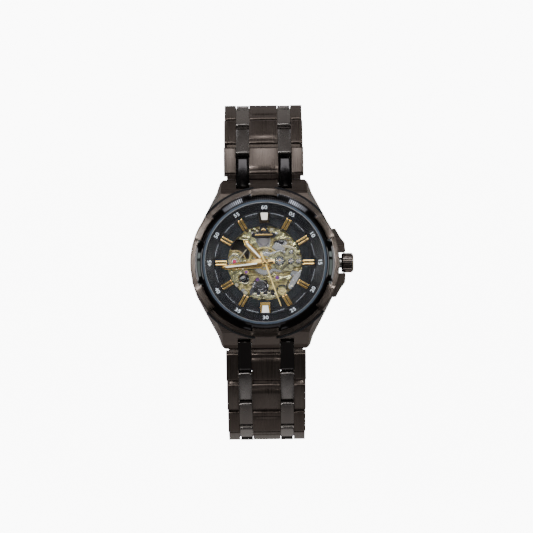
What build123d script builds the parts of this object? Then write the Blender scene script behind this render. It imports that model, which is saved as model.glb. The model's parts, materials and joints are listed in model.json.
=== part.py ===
from build123d import *
import os
from math import sin, cos, radians, degrees, pi, sqrt, atan2, asin

# Skeleton wristwatch with a folded steel bracelet, closed as it is worn.
# Frame: +Z is the dial's outward normal, +Y points to 12 o'clock, +X to the crown.
# The origin is the centre of the case back's outer face.  Millimetres.

os.makedirs("parts", exist_ok=True)

# ------------------------------------------------------------------ dimensions
CASE_Z0, CASE_Z1 = 1.4, 8.4          # mid case, bottom and top
CASE_BORE = 16.8                     # bore that holds the movement
BEZEL_R, BEZEL_TOP = 21.0, 11.2      # outer radius and top of the bezel
CRYSTAL_R, CRYSTAL_TOP = 17.45, 11.4 # sapphire disc
LUG_Y, LUG_Z = 22.6, 3.2             # lug pin axes (both ends)
NOSE_X = 3.85                        # half width of the nose between the slots
SLOT_X0, SLOT_X1 = 3.9, 7.95         # slots for the bracelet's tabs
SLOT_Y = 21.05                       # inner end of the slots
STEM_Z = 4.2                         # crown axis height
CROWN_R, CROWN_X0, CROWN_X1 = 2.8, 21.6, 25.0
BACK_R, BACK_OPEN = 18.2, 12.6       # case back disc and its display opening

MOVE_R = 15.0                        # movement radius
PLATE_Z0, PLATE_Z1 = 5.3, 6.2        # main plate
DIAL_Z0, DIAL_Z1 = 7.1, 7.5          # dial ring
DIAL_OPEN = 10.5                     # dial opening radius
STEP_Z = 7.9                         # raised minute band
THIRD = (3.5, -4.0)
ESCAPE = (-2.1, -4.6)
PALLET = (-5.2, -2.4)
BALANCE = (-8.45, 0.8)
BARREL = (1.2, 6.4)
MINUTE_W = (4.2, 0.56)
SETTING = (8.88, 0.56)
CROWN_W = (7.38, 0.0)

PITCH = 9.6                          # bracelet pitch, pin to pin
LINK_T = 1.45                        # half thickness of a link
COL_C = 4.05                         # centre column, half width
COL_M0, COL_M1 = 4.2, 7.85           # intermediate columns
COL_O0, COL_O1 = 8.0, 11.3           # outer columns
TAPER = 0.125                        # half width lost on each link
PIN_R, PIN_HOLE = 0.5, 0.56
UPPER = [12.3, 32.7, 56.4, 89.4, 121.8, 146.0, 162.7, 175.2]   # link angles, degrees below level
LOWER = [26.4, 33.0, 50.9, 76.2, 109.2, 142.3, 175.0]
CLASP_R = 110.0                      # curvature of the clasp plates


def save(part, label):
    part.label = label
    export_step(part, "parts/%s.step" % label)
    print("%-22s %9.2f mm3  %d solid(s)" % (label, part.volume, len(part.solids())))


def clock(r, deg):
    """Point at radius r and clock angle deg (0 = 12 o'clock, clockwise)."""
    a = radians(deg)
    return (r * sin(a), r * cos(a))


# ------------------------------------------------------------------- the case
OUTLINE = [(12.1, 24.2), (13.4, 20.2), (16.6, 14.2), (19.4, 8.8), (20.6, 5.0), (20.9, 0.0)]
outline = [(x, y) for x, y in OUTLINE] + [(x, -y) for x, y in reversed(OUTLINE[:-1])]
outline += [(-x, -y) for x, y in OUTLINE] + [(-x, y) for x, y in reversed(OUTLINE[:-1])]
OUTLINE_TOP = [(10.6, 24.2), (11.9, 19.7), (15.2, 13.5), (18.1, 8.3), (19.3, 4.7), (19.6, 0.0)]
outline_top = [(x, y) for x, y in OUTLINE_TOP] + [(x, -y) for x, y in reversed(OUTLINE_TOP[:-1])]
outline_top += [(-x, -y) for x, y in OUTLINE_TOP] + [(-x, y) for x, y in reversed(OUTLINE_TOP[:-1])]
LUG_ROUND = 2.6                       # rounding of the lugs' outer corners
LUG_PROFILE = [(14.0, 8.4), (19.6, 7.6), (22.9, 5.2), (23.75, 4.2), (23.95, 3.2), (23.75, 2.3),
               (23.0, 1.75), (20.5, 1.4), (14.0, 1.2)]
lug_profile = [(y, z) for y, z in LUG_PROFILE] + [(-y, z) for y, z in reversed(LUG_PROFILE)]

with BuildPart() as mid_case:
    with BuildSketch(Plane.XY.offset(CASE_Z0)) as s:
        Polygon(*outline, align=None)
        fillet(s.vertices().filter_by(lambda v: abs(abs(v.X) - 12.1) < 0.01), radius=LUG_ROUND)
    extrude(amount=2.2)
    with BuildSketch(Plane.XY.offset(3.6)) as s:
        Polygon(*outline, align=None)
        fillet(s.vertices().filter_by(lambda v: abs(abs(v.X) - 12.1) < 0.01), radius=LUG_ROUND)
    with BuildSketch(Plane.XY.offset(CASE_Z1)) as s:
        Polygon(*outline_top, align=None)
        fillet(s.vertices().filter_by(lambda v: abs(abs(v.X) - 10.6) < 0.01), radius=LUG_ROUND)
    loft(ruled=True)
    with BuildSketch(Plane.XY.offset(2.7)):
        for sy in (1, -1):
            Polygon((18.5, 2.95 * sy), (22.5, 2.95 * sy), (22.75, 3.3 * sy), (22.55, 5.6 * sy),
                    (21.3, 7.2 * sy), (20.0, 9.6 * sy), (18.0, 9.6 * sy), align=None)
    extrude(amount=3.2)
    with BuildSketch(Plane.YZ):
        Polygon(*lug_profile, align=None)
    extrude(amount=30, both=True, mode=Mode.INTERSECT)
    with BuildSketch(Plane.XY):
        Circle(CASE_BORE)
        for sx in (1, -1):
            for sy in (1, -1):
                with Locations((sx * (SLOT_X0 + SLOT_X1) / 2, sy * (SLOT_Y + 4))):
                    Rectangle(SLOT_X1 - SLOT_X0, 8)
    extrude(amount=12, mode=Mode.SUBTRACT)
    # shallow recess that separates the nose from the lugs on top
    with BuildSketch(Plane.YZ):
        for sy in (1, -1):
            with Locations((sy * LUG_Y, LUG_Z)):
                Circle(PIN_R)
    extrude(amount=11.2, both=True, mode=Mode.SUBTRACT)
    # crown tube bore and the flat that the crown seats against
    with BuildSketch(Plane.YZ.offset(14)):
        with Locations((0, STEM_Z)):
            Circle(1.5)
    extrude(amount=12, mode=Mode.SUBTRACT)
    with BuildSketch(Plane.YZ.offset(21.2)):
        with Locations((0, STEM_Z)):
            Circle(2.94)
    extrude(amount=4, mode=Mode.SUBTRACT)
save(mid_case.part, "mid_case")

with BuildPart() as lug_pins:
    with BuildSketch(Plane.YZ):
        for sy in (1, -1):
            with Locations((sy * LUG_Y, LUG_Z)):
                Circle(PIN_R)
    extrude(amount=11.2, both=True)
save(lug_pins.part, "lug_pins")

with BuildPart() as bezel:
    with BuildSketch(Plane.XZ):
        Polygon((CASE_BORE, CASE_Z1), (20.75, CASE_Z1), (BEZEL_R, 8.65), (BEZEL_R, 9.15),
                (20.8, 9.35), (19.75, 9.4), (19.6, 9.45), (17.95, 11.05), (17.75, BEZEL_TOP),
                (17.5, BEZEL_TOP), (17.5, 9.7), (CASE_BORE, 9.7), align=None)
    revolve(axis=Axis.Z)
    with BuildPart(mode=Mode.PRIVATE) as tab_ring:
        with BuildSketch(Plane.XZ):
            Polygon((18.75, 9.0), (20.99, 9.0), (20.99, 10.25), (20.75, 10.5), (19.0, 10.85),
                    (18.75, 10.6), align=None)
        revolve(axis=Axis.Z)
        with BuildSketch(Plane.XY.offset(8.5)):
            with PolarLocations(20.0, 6):
                Rectangle(6.0, 7.3)
        extrude(amount=4, mode=Mode.INTERSECT)
    add(tab_ring.part.rotate(Axis.Z, 30))
save(bezel.part, "bezel")

with BuildPart() as crystal_gasket:
    with BuildSketch(Plane.XY.offset(9.7)):
        Circle(CRYSTAL_R)
        Circle(CASE_BORE, mode=Mode.SUBTRACT)
    extrude(amount=0.1)
save(crystal_gasket.part, "crystal_gasket")

with BuildPart() as crystal:
    with BuildSketch(Plane.XZ):
        Polygon((0, 9.8), (CRYSTAL_R, 9.8), (CRYSTAL_R, 11.1), (16.75, CRYSTAL_TOP), (0, CRYSTAL_TOP),
                align=None)
    revolve(axis=Axis.Z)
save(crystal.part, "crystal")

with BuildPart() as case_back:
    with BuildSketch(Plane.XZ):
        Polygon((BACK_OPEN, 0), (17.0, 0), (18.2, 0.5), (18.2, 1.4), (16.75, 1.4), (16.75, 1.7),
                (15.9, 1.7), (15.9, 1.3), (13.4, 1.3), (13.4, 0.35), (BACK_OPEN, 0.35), align=None)
    revolve(axis=Axis.Z)
    with BuildSketch(Plane.XY):
        with PolarLocations(17.6, 6):
            Rectangle(2.4, 2.6)
    extrude(amount=0.8, mode=Mode.SUBTRACT)
save(case_back.part, "case_back")

with BuildPart() as back_crystal:
    with BuildSketch(Plane.XY.offset(0.35)):
        Circle(13.4)
    extrude(amount=0.9)
save(back_crystal.part, "back_crystal")

# ------------------------------------------------------------ crown and stem
with BuildPart() as crown_tube:
    with BuildSketch(Plane.YZ.offset(CASE_BORE + 0.1)):
        with Locations((0, STEM_Z)):
            Circle(1.5)
            Circle(1.1, mode=Mode.SUBTRACT)
    extrude(amount=5.6)
save(crown_tube.part, "crown_tube")

flutes = []
for i in range(28):
    a = 360 / 28 * i
    for da, rr in ((0.0, CROWN_R), (5.6, CROWN_R), (7.4, CROWN_R - 0.33), (11.0, CROWN_R - 0.33)):
        t = radians(a + da)
        flutes.append((rr * cos(t), STEM_Z + rr * sin(t)))
with BuildPart() as crown:
    with BuildSketch(Plane.YZ.offset(CROWN_X0)):
        Polygon(*flutes, align=None)
    extrude(amount=CROWN_X1 - CROWN_X0)
    with BuildSketch(Plane.XY.offset(STEM_Z)):
        Polygon((CROWN_X0, 0), (CROWN_X0, CROWN_R - 0.3), (CROWN_X0 + 0.45, CROWN_R + 0.02),
                (CROWN_X1 - 0.5, CROWN_R + 0.02), (CROWN_X1 - 0.1, CROWN_R - 0.45),
                (CROWN_X1, CROWN_R - 0.9), (CROWN_X1, 0), align=None)
    revolve(axis=Axis((0, 0, STEM_Z), (1, 0, 0)), mode=Mode.INTERSECT)
    with BuildSketch(Plane.YZ.offset(CROWN_X0)):
        with Locations((0, STEM_Z)):
            Circle(1.75)
    extrude(amount=2.6, mode=Mode.SUBTRACT)
save(crown.part, "crown")

with BuildPart() as crown_gasket:
    with BuildSketch(Plane.YZ.offset(CROWN_X0 + 2.2)):
        with Locations((0, STEM_Z)):
            Circle(1.71)
            Circle(0.53, mode=Mode.SUBTRACT)
    extrude(amount=0.35)
save(crown_gasket.part, "crown_gasket")

with BuildPart() as winding_stem:
    with BuildSketch(Plane.YZ.offset(9.2)):
        with Locations((0, STEM_Z)):
            Circle(0.3)
    extrude(amount=3.2)
    with BuildSketch(Plane.YZ.offset(12.4)):
        with Locations((0, STEM_Z)):
            Circle(0.5)
    extrude(amount=CROWN_X0 + 2.6 - 12.4)
save(winding_stem.part, "winding_stem")


# ------------------------------------------------------------------- gearing
def ngon(x, y, r, n=16, turn=0.0):
    return [(x + r * cos(2 * pi * (k + 0.5) / n + turn), y + r * sin(2 * pi * (k + 0.5) / n + turn))
            for k in range(n)]


def teeth(x, y, n, m, turn=0.0, add_k=0.85, ded_k=1.15, tip=0.22, root=0.52, mid=0.40):
    """Closed outline of an n-tooth wheel; one tooth is centred on angle turn (radians)."""
    r = n * m / 2
    ra, rd = r + add_k * m, r - ded_k * m
    p = 2 * pi / n
    pts = []
    for k in range(n):
        a = turn + k * p
        for da, rr in ((-root / 2, rd), (-mid / 2, r), (-tip / 2, ra), (tip / 2, ra), (mid / 2, r),
                       (root / 2, rd)):
            pts.append((x + rr * cos(a + da * p), y + rr * sin(a + da * p)))
    return pts


def window(x, y, r0, r1, a0, a1, steps=6):
    """Outline of a window between two spokes."""
    out = [(x + r1 * cos(a0 + (a1 - a0) * k / steps), y + r1 * sin(a0 + (a1 - a0) * k / steps))
           for k in range(steps + 1)]
    inn = [(x + r0 * cos(a1 - (a1 - a0) * k / steps), y + r0 * sin(a1 - (a1 - a0) * k / steps))
           for k in range(steps + 1)]
    return out + inn


def wheel(pos, n, m, z0, t, turn=0.0, spokes=0, hub=0.8, rim=0.55, rods=(), pinions=(), bore=None):
    """A toothed wheel with spokes, its pinions (n, m, z0, z1, turn) and its arbor rods (r, z0, z1)."""
    x, y = pos
    r = n * m / 2
    with BuildPart() as w:
        with BuildSketch(Plane.XY.offset(z0)):
            Polygon(*teeth(x, y, n, m, turn), align=None)
            for k in range(spokes):
                a = 2 * pi * k / spokes + turn
                g = 0.36 / (r - rim)
                h = 0.36 / hub * 0.6
                Polygon(*window(x, y, hub, r - 1.15 * m - rim, a + g + 0.12, a + 2 * pi / spokes - g - 0.12),
                        align=None, mode=Mode.SUBTRACT)
        extrude(amount=t)
        for rr, za, zb in rods:
            with BuildSketch(Plane.XY.offset(za)):
                Polygon(*ngon(x, y, rr), align=None)
            extrude(amount=zb - za)
        for pn, pm, za, zb, pt in pinions:
            with BuildSketch(Plane.XY.offset(za)):
                Polygon(*teeth(x, y, pn, pm, pt, 0.8, 1.1, 0.16, 0.46, 0.36), align=None)
            extrude(amount=zb - za)
        if bore:
            with BuildSketch(Plane.XY.offset(z0 - 8)):
                Polygon(*ngon(x, y, bore), align=None)
            extrude(amount=24, mode=Mode.SUBTRACT)
    return w.part


def line(a, b):
    return atan2(b[1] - a[1], b[0] - a[0]), sqrt((b[0] - a[0]) ** 2 + (b[1] - a[1]) ** 2)


O = (0.0, 0.0)
ang_ot, d_ot = line(O, THIRD)          # centre to third
ang_oe, d_oe = line(O, ESCAPE)         # fourth (centre) to escape
ang_ob, d_ob = line(O, BARREL)         # centre to barrel
ang_om, d_om = line(O, MINUTE_W)       # cannon pinion to minute wheel
ang_ms, d_ms = line(MINUTE_W, SETTING)
ang_bc, d_bc = line(BARREL, CROWN_W)

M_CENTRE = 2 * d_ot / (80 + 10)
M_THIRD = 2 * d_ot / (75 + 10)
M_FOURTH = 2 * d_oe / (80 + 8)
M_BARREL = 2 * d_ob / (78 + 12)
M_MOTION = 2 * d_om / (36 + 12)
M_HOUR = 2 * d_om / (40 + 10)
M_WIND = 2 * d_bc / (53 + 36)


def gap_turn(n, ang):
    """Turn of an n-tooth wheel that puts a tooth gap on the direction ang."""
    return ang + pi / n


save(wheel(O, 80, M_CENTRE, 4.65, 0.15, turn=gap_turn(80, ang_ot), spokes=5, hub=1.5,
           rods=((0.45, 4.15, 8.85),),
           pinions=((12, M_BARREL, 4.15, 4.55, ang_ob), (12, M_MOTION, 6.35, 6.75, ang_om)),
           bore=0.27), "centre_wheel")
save(wheel(O, 80, M_FOURTH, 3.05, 0.15, turn=gap_turn(80, ang_oe), spokes=4, hub=1.1,
           rods=((0.19, 2.95, 9.3),), pinions=((10, M_THIRD, 3.22, 3.52, ang_ot),)), "fourth_wheel")
save(wheel(THIRD, 75, M_THIRD, 3.3, 0.15, turn=gap_turn(75, ang_ot + pi), spokes=5, hub=1.0,
           rods=((0.26, 3.0, 5.28), (0.15, 2.9, 5.95)),
           pinions=((10, M_CENTRE, 4.58, 4.88, ang_ot + pi),)), "third_wheel")
save(wheel(BARREL, 78, M_BARREL, 4.2, 0.3, turn=gap_turn(78, ang_ob + pi),
           rods=((5.15, 3.4, 4.2),)), "barrel")
save(wheel(BARREL, 53, M_WIND, 4.95, 0.2, turn=gap_turn(53, ang_bc), spokes=0,
           rods=((0.8, 4.52, 4.95), (0.5, 4.95, 5.5))), "ratchet_wheel")
save(wheel(CROWN_W, 36, M_WIND, 4.95, 0.2, turn=ang_bc + pi, spokes=0,
           rods=((0.6, 4.9, 5.28),)), "crown_wheel")
save(wheel(MINUTE_W, 36, M_MOTION, 6.4, 0.2, turn=gap_turn(36, ang_om + pi), spokes=4, hub=0.95, rim=0.45,
           rods=((0.3, 6.22, 7.32),), pinions=((10, M_HOUR, 6.8, 7.1, ang_om + pi),)), "minute_wheel")
save(wheel(O, 40, M_HOUR, 6.85, 0.2, turn=gap_turn(40, ang_om), spokes=0,
           rods=((0.82, 6.85, 8.2),), bore=0.52), "hour_wheel")
save(wheel(SETTING, 17, M_MOTION, 6.4, 0.2, turn=ang_ms + pi,
           rods=((0.35, 6.22, 6.95),)), "setting_wheel")

# escape wheel: 18 pointed teeth on five spokes
esc_teeth = []
for k in range(18):
    a = 2 * pi * k / 18
    for da, rr in ((0.0, 2.45), (0.02, 2.45), (0.09, 1.95), (0.26, 1.9)):
        esc_teeth.append((ESCAPE[0] + rr * cos(a + da), ESCAPE[1] + rr * sin(a + da)))
with BuildPart() as escape_wheel:
    with BuildSketch(Plane.XY.offset(3.7)):
        Polygon(*esc_teeth, align=None)
        for k in range(5):
            a = 2 * pi * k / 5
            Polygon(*window(ESCAPE[0], ESCAPE[1], 0.65, 1.6, a + 0.25, a + 2 * pi / 5 - 0.25), align=None,
                    mode=Mode.SUBTRACT)
    extrude(amount=0.15)
    for rr, za, zb in ((0.24, 3.2, 5.28), (0.15, 2.9, 5.95)):
        with BuildSketch(Plane.XY.offset(za)):
            Polygon(*ngon(ESCAPE[0], ESCAPE[1], rr), align=None)
        extrude(amount=zb - za)
    with BuildSketch(Plane.XY.offset(3.0)):
        Polygon(*teeth(ESCAPE[0], ESCAPE[1], 8, M_FOURTH, ang_oe + pi, 0.8, 1.1, 0.16, 0.46, 0.36),
                align=None)
    extrude(amount=0.3)
save(escape_wheel.part, "escape_wheel")

# pallet fork: anchor beside the escape wheel, lever towards the balance
ang_pe, d_pe = line(PALLET, ESCAPE)
ang_pb, d_pb = line(PALLET, BALANCE)


def local(o, ang, pts):
    c, s = cos(ang), sin(ang)
    return [(o[0] + u * c - v * s, o[1] + u * s + v * c) for u, v in pts]


with BuildPart() as pallet_fork:
    with BuildSketch(Plane.XY.offset(3.68)):
        Polygon(*local(PALLET, ang_pb, [(-0.45, -0.3), (0.5, -0.3), (3.05, -0.14), (3.2, -0.42),
                                        (3.5, -0.42), (3.45, -0.17), (3.22, -0.1), (3.22, 0.1),
                                        (3.45, 0.17), (3.5, 0.42), (3.2, 0.42), (3.05, 0.14),
                                        (0.5, 0.3), (-0.45, 0.3)]), align=None)
        Polygon(*local(PALLET, ang_pe, [(-0.3, -1.9), (0.15, -1.9), (0.35, -0.7), (0.35, 0.7),
                                        (0.15, 1.9), (-0.3, 1.9)]), align=None)
    extrude(amount=0.2)
    for rr, za, zb in ((0.22, 3.1, 5.28), (0.14, 2.9, 5.95)):
        with BuildSketch(Plane.XY.offset(za)):
            Polygon(*ngon(PALLET[0], PALLET[1], rr), align=None)
        extrude(amount=zb - za)
save(pallet_fork.part, "pallet_fork")

# balance: rim, three arms, staff, roller
with BuildPart() as balance_wheel:
    with BuildSketch(Plane.XY.offset(4.3)):
        Polygon(*ngon(BALANCE[0], BALANCE[1], 3.2, 64), align=None)
        for k in range(3):
            a = 2 * pi * k / 3 + 0.9
            Polygon(*window(BALANCE[0], BALANCE[1], 0.65, 2.72, a + 0.16, a + 2 * pi / 3 - 0.16, 14),
                    align=None, mode=Mode.SUBTRACT)
    extrude(amount=0.35)
    for rr, za, zb in ((0.7, 3.62, 3.9), (0.28, 3.2, 5.28), (0.14, 2.9, 5.95)):
        with BuildSketch(Plane.XY.offset(za)):
            Polygon(*ngon(BALANCE[0], BALANCE[1], rr), align=None)
        extrude(amount=zb - za)
save(balance_wheel.part, "balance_wheel")

# hairspring: flat spiral between the balance and its cock
sp_out, sp_in = [], []
for k in range(0, 97):
    th = 2 * pi * k / 16
    rr = 0.62 + 0.27 * th / (2 * pi)
    sp_out.append((BALANCE[0] + (rr + 0.04) * cos(th), BALANCE[1] + (rr + 0.04) * sin(th)))
    sp_in.append((BALANCE[0] + (rr - 0.04) * cos(th), BALANCE[1] + (rr - 0.04) * sin(th)))
with BuildPart() as hairspring:
    with BuildSketch(Plane.XY.offset(3.3)):
        Polygon(*(sp_out + sp_in[::-1]), align=None)
    extrude(amount=0.2)
save(hairspring.part, "hairspring")

with BuildPart() as winding_pinion:
    with BuildSketch(Plane.YZ.offset(9.9)):
        Polygon(*[(a, STEM_Z + b) for a, b in teeth(0, 0, 12, 0.105, 0.0)], align=None)
        with Locations((0, STEM_Z)):
            Circle(0.36, mode=Mode.SUBTRACT)
    extrude(amount=1.2)
save(winding_pinion.part, "winding_pinion")

with BuildPart() as rotor:
    with BuildSketch(Plane.XY.offset(1.75)):
        Circle(14.2)
        with Locations((0, 7.5)):
            Rectangle(30, 15, mode=Mode.SUBTRACT)
        with Locations((0, 0)):
            Circle(2.6)
        for sx in (1, -1):
            Polygon((sx * 1.2, -3.4), (sx * 1.2, -10.6), (sx * 5.4, -9.2), (sx * 8.8, -4.4), (sx * 4.6, -1.6),
                    align=None, mode=Mode.SUBTRACT)
    extrude(amount=0.45)
    with BuildSketch(Plane.XY.offset(2.2)):
        Circle(1.5)
    extrude(amount=0.25)
save(rotor.part, "rotor")

# ---------------------------------------------------------- plates and bridges
with BuildPart() as movement_holder:
    with BuildSketch(Plane.XY.offset(1.75)):
        Circle(CASE_BORE)
        Circle(MOVE_R, mode=Mode.SUBTRACT)
    extrude(amount=DIAL_Z0 - 1.75)
    with BuildSketch(Plane.YZ.offset(14)):
        with Locations((0, STEM_Z)):
            Circle(1.5)
    extrude(amount=4, mode=Mode.SUBTRACT)
save(movement_holder.part, "movement_holder")

PIVOTS = [THIRD, ESCAPE, PALLET, BALANCE]
with BuildPart() as main_plate:
    with BuildSketch(Plane.XY.offset(2.95)):
        Circle(MOVE_R)
        Circle(14.35, mode=Mode.SUBTRACT)
    extrude(amount=PLATE_Z0 - 2.95)
    with BuildSketch(Plane.XY.offset(PLATE_Z0)) as ps:
        Circle(MOVE_R)
        Circle(0.6, mode=Mode.SUBTRACT)
        # window over the balance, beside its jewelled setting
        Polygon((-9.4, 3.3), (-7.9, 3.15), (-6.55, 2.5), (-5.9, 1.2), (-4.5, 1.3), (-3.9, 3.6), (-4.7, 6.3),
                (-7.6, 6.9), (-9.9, 5.0), align=None, mode=Mode.SUBTRACT)
        # round windows over the escape wheel and the train
        with Locations((-5.9, -4.4)):
            Circle(1.45, mode=Mode.SUBTRACT)
        Polygon((-0.6, -4.0), (1.2, -5.2), (0.9, -7.6), (-0.6, -8.6), (-1.6, -9.8), (-4.4, -9.2), (-4.2, -7.6),
                (-3.0, -6.2), (-1.5, -5.9), align=None, mode=Mode.SUBTRACT)
        # window over the ratchet wheel and the keyless works
        Polygon((2.0, 4.2), (3.2, 3.4), (5.4, 4.0), (6.6, 5.6), (5.8, 7.6), (3.6, 6.4), align=None,
                mode=Mode.SUBTRACT)
        Polygon((-3.0, 3.2), (-0.8, 4.4), (0.9, 3.4), (1.6, 5.6), (0.4, 8.0), (-2.6, 7.4), align=None,
                mode=Mode.SUBTRACT)
        Polygon((7.6, -2.0), (10.0, -2.6), (9.7, -5.6), (7.9, -5.1), (6.9, -3.6), align=None,
                mode=Mode.SUBTRACT)
        with Locations((4.9, -8.0)):
            Circle(1.5, mode=Mode.SUBTRACT)
        with Locations(*[p for p in PIVOTS]):
            Circle(0.62, mode=Mode.SUBTRACT)
        with Locations(BARREL):
            Circle(0.6, mode=Mode.SUBTRACT)
    extrude(amount=PLATE_Z1 - PLATE_Z0)
    with BuildSketch(Plane.YZ.offset(13)):
        with Locations((0, STEM_Z)):
            Circle(0.75)
    extrude(amount=4, mode=Mode.SUBTRACT)
save(main_plate.part, "main_plate")

with BuildPart() as train_bridge:
    with BuildSketch(Plane.XY.offset(2.5)):
        Circle(MOVE_R)
        with Locations((-10.5, 1.5)):
            Rectangle(12.2, 11.0, mode=Mode.SUBTRACT)
        Circle(0.6, mode=Mode.SUBTRACT)
        with Locations(THIRD, ESCAPE):
            Circle(0.62, mode=Mode.SUBTRACT)
    extrude(amount=0.45)
save(train_bridge.part, "train_bridge")

with BuildPart() as balance_cock:
    with BuildSketch(Plane.XY.offset(2.5)):
        with Locations((-10.5, 1.5)):
            Rectangle(12.0, 10.8)
        Circle(14.95, mode=Mode.INTERSECT)
        with Locations(PALLET, BALANCE):
            Circle(0.62, mode=Mode.SUBTRACT)
    extrude(amount=0.45)
save(balance_cock.part, "balance_cock")

# bridge over the motion works: wavy edge from the centre to 3 o'clock
BR = [(1.15, 2.3), (2.6, 2.5), (3.5, 3.2), (4.6, 3.3), (5.7, 2.5), (6.3, 3.9), (7.2, 4.4), (8.2, 4.2),
      (8.9, 3.2), (8.7, 2.0), (9.8, 1.5), (10.3, 0.3), (9.9, -1.0), (8.8, -1.3), (8.1, -1.1), (7.8, -2.1),
      (7.0, -2.5), (6.2, -2.2), (5.1, -2.6), (4.2, -2.0), (3.3, -1.4), (2.2, -1.7), (1.15, -1.3)]
with BuildPart() as motion_bridge:
    with BuildSketch(Plane.XY.offset(7.12)) as s:
        Polygon(*BR, align=None)
        fillet(s.vertices().filter_by(lambda v: v.X > 1.3), radius=0.3)
        Circle(1.3, mode=Mode.SUBTRACT)
        with Locations(MINUTE_W):
            Circle(0.42, mode=Mode.SUBTRACT)
        with Locations((7.5, 3.0)):
            Circle(0.75, mode=Mode.SUBTRACT)
    extrude(amount=0.22)
    with BuildSketch(Plane.XY.offset(PLATE_Z1)):
        with Locations((7.9, 3.9), (7.2, -1.85)):
            Circle(0.28)
    extrude(amount=0.92)
save(motion_bridge.part, "motion_bridge")

with BuildPart() as jewels:
    for (px, py), ro in ((THIRD, 0.62), (ESCAPE, 0.62), (PALLET, 0.62), (BALANCE, 0.62)):
        with BuildSketch(Plane.XY.offset(5.75)):
            with Locations((px, py)):
                Circle(ro)
                Circle(0.17, mode=Mode.SUBTRACT)
        extrude(amount=0.5)
    for (px, py) in (THIRD, ESCAPE, PALLET, BALANCE):
        with BuildSketch(Plane.XY.offset(2.55)):
            with Locations((px, py)):
                Circle(0.62)
                Circle(0.17, mode=Mode.SUBTRACT)
        extrude(amount=0.38)
save(jewels.part, "jewels")

with BuildPart() as movement_screws:
    for (px, py), rr, za, tt in (((7.8, -6.2), 0.62, PLATE_Z1, 0.35), ((-8.0, -5.9), 0.62, PLATE_Z1, 0.35),
                                 ((-6.2, -7.7), 0.55, PLATE_Z1, 0.3), ((-3.2, 8.4), 0.6, PLATE_Z1, 0.35),
                                 ((3.4, 8.9), 0.55, PLATE_Z1, 0.45), ((9.4, 3.6), 0.5, PLATE_Z1, 0.3)):
        with BuildSketch(Plane.XY.offset(za)):
            with Locations((px, py)):
                Circle(rr)
        extrude(amount=tt)
        with BuildSketch(Plane.XY.offset(za + tt - 0.14)):
            with Locations(Location((px, py, 0), (0, 0, 37 * px))):
                Rectangle(2 * rr + 0.2, 0.2)
        extrude(amount=0.3, mode=Mode.SUBTRACT)
save(movement_screws.part, "movement_screws")

# ------------------------------------------------------------------- the dial
with BuildPart() as dial_ring:
    with BuildSketch(Plane.XY.offset(DIAL_Z0)):
        Circle(CASE_BORE)
        Circle(DIAL_OPEN, mode=Mode.SUBTRACT)
    extrude(amount=DIAL_Z1 - DIAL_Z0)
save(dial_ring.part, "dial_ring")

with BuildPart() as chapter_ring:
    with BuildSketch(Plane.XZ):
        Polygon((12.7, DIAL_Z1), (16.75, DIAL_Z1), (16.75, 9.65), (16.6, 9.65), (14.45, 8.1), (14.4, STEP_Z),
                (12.8, STEP_Z), (12.7, STEP_Z - 0.1), align=None)
    revolve(axis=Axis.Z)
save(chapter_ring.part, "chapter_ring")

BAR = [(10.7, DIAL_Z1), (12.62, DIAL_Z1), (12.62, STEP_Z), (13.9, STEP_Z), (13.9, 8.1), (13.75, 8.2),
       (10.85, 8.2), (10.7, 8.1)]
with BuildPart() as hour_markers:
    for h in range(12):
        ang = h * 30.0
        d = clock(1.0, ang)
        side = (d[1], -d[0])
        if h in (0, 6):
            # gold frame: inner block and two side rails
            for off, w in ((-1.22, 0.28), (1.22, 0.28)):
                pl = Plane(origin=(side[0] * off, side[1] * off, 0), x_dir=(d[0], d[1], 0),
                           z_dir=(side[0], side[1], 0))
                with BuildSketch(pl):
                    Polygon((11.2, -DIAL_Z1) if pl.y_dir.Z < 0 else (11.2, DIAL_Z1),
                            (12.62, -DIAL_Z1) if pl.y_dir.Z < 0 else (12.62, DIAL_Z1),
                            (12.62, -STEP_Z) if pl.y_dir.Z < 0 else (12.62, STEP_Z),
                            (14.1, -STEP_Z) if pl.y_dir.Z < 0 else (14.1, STEP_Z),
                            (14.1, -8.2) if pl.y_dir.Z < 0 else (14.1, 8.2),
                            (11.2, -8.2) if pl.y_dir.Z < 0 else (11.2, 8.2), align=None)
                extrude(amount=w / 2, both=True)
            pl = Plane(origin=(0, 0, 0), x_dir=(d[0], d[1], 0), z_dir=(side[0], side[1], 0))
            sg = -1 if pl.y_dir.Z < 0 else 1
            with BuildSketch(pl):
                Polygon((11.2, sg * DIAL_Z1), (12.0, sg * DIAL_Z1), (12.0, sg * 8.2), (11.2, sg * 8.2),
                        align=None)
            extrude(amount=1.1, both=True)
        else:
            for off in (-0.45, 0.45):
                pl = Plane(origin=(side[0] * off, side[1] * off, 0), x_dir=(d[0], d[1], 0),
                           z_dir=(side[0], side[1], 0))
                sg = -1 if pl.y_dir.Z < 0 else 1
                with BuildSketch(pl):
                    Polygon(*[(r, sg * z) for r, z in BAR], align=None)
                extrude(amount=0.29, both=True)
save(hour_markers.part, "hour_markers")

with BuildPart() as marker_lume:
    for sy in (1, -1):
        with BuildSketch(Plane.XY.offset(STEP_Z)):
            Polygon((-1.06, sy * 14.1), (1.06, sy * 14.1), (0.9, sy * 12.72), (-0.9, sy * 12.72),
                    align=None)
        extrude(amount=0.25)
save(marker_lume.part, "marker_lume")


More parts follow.
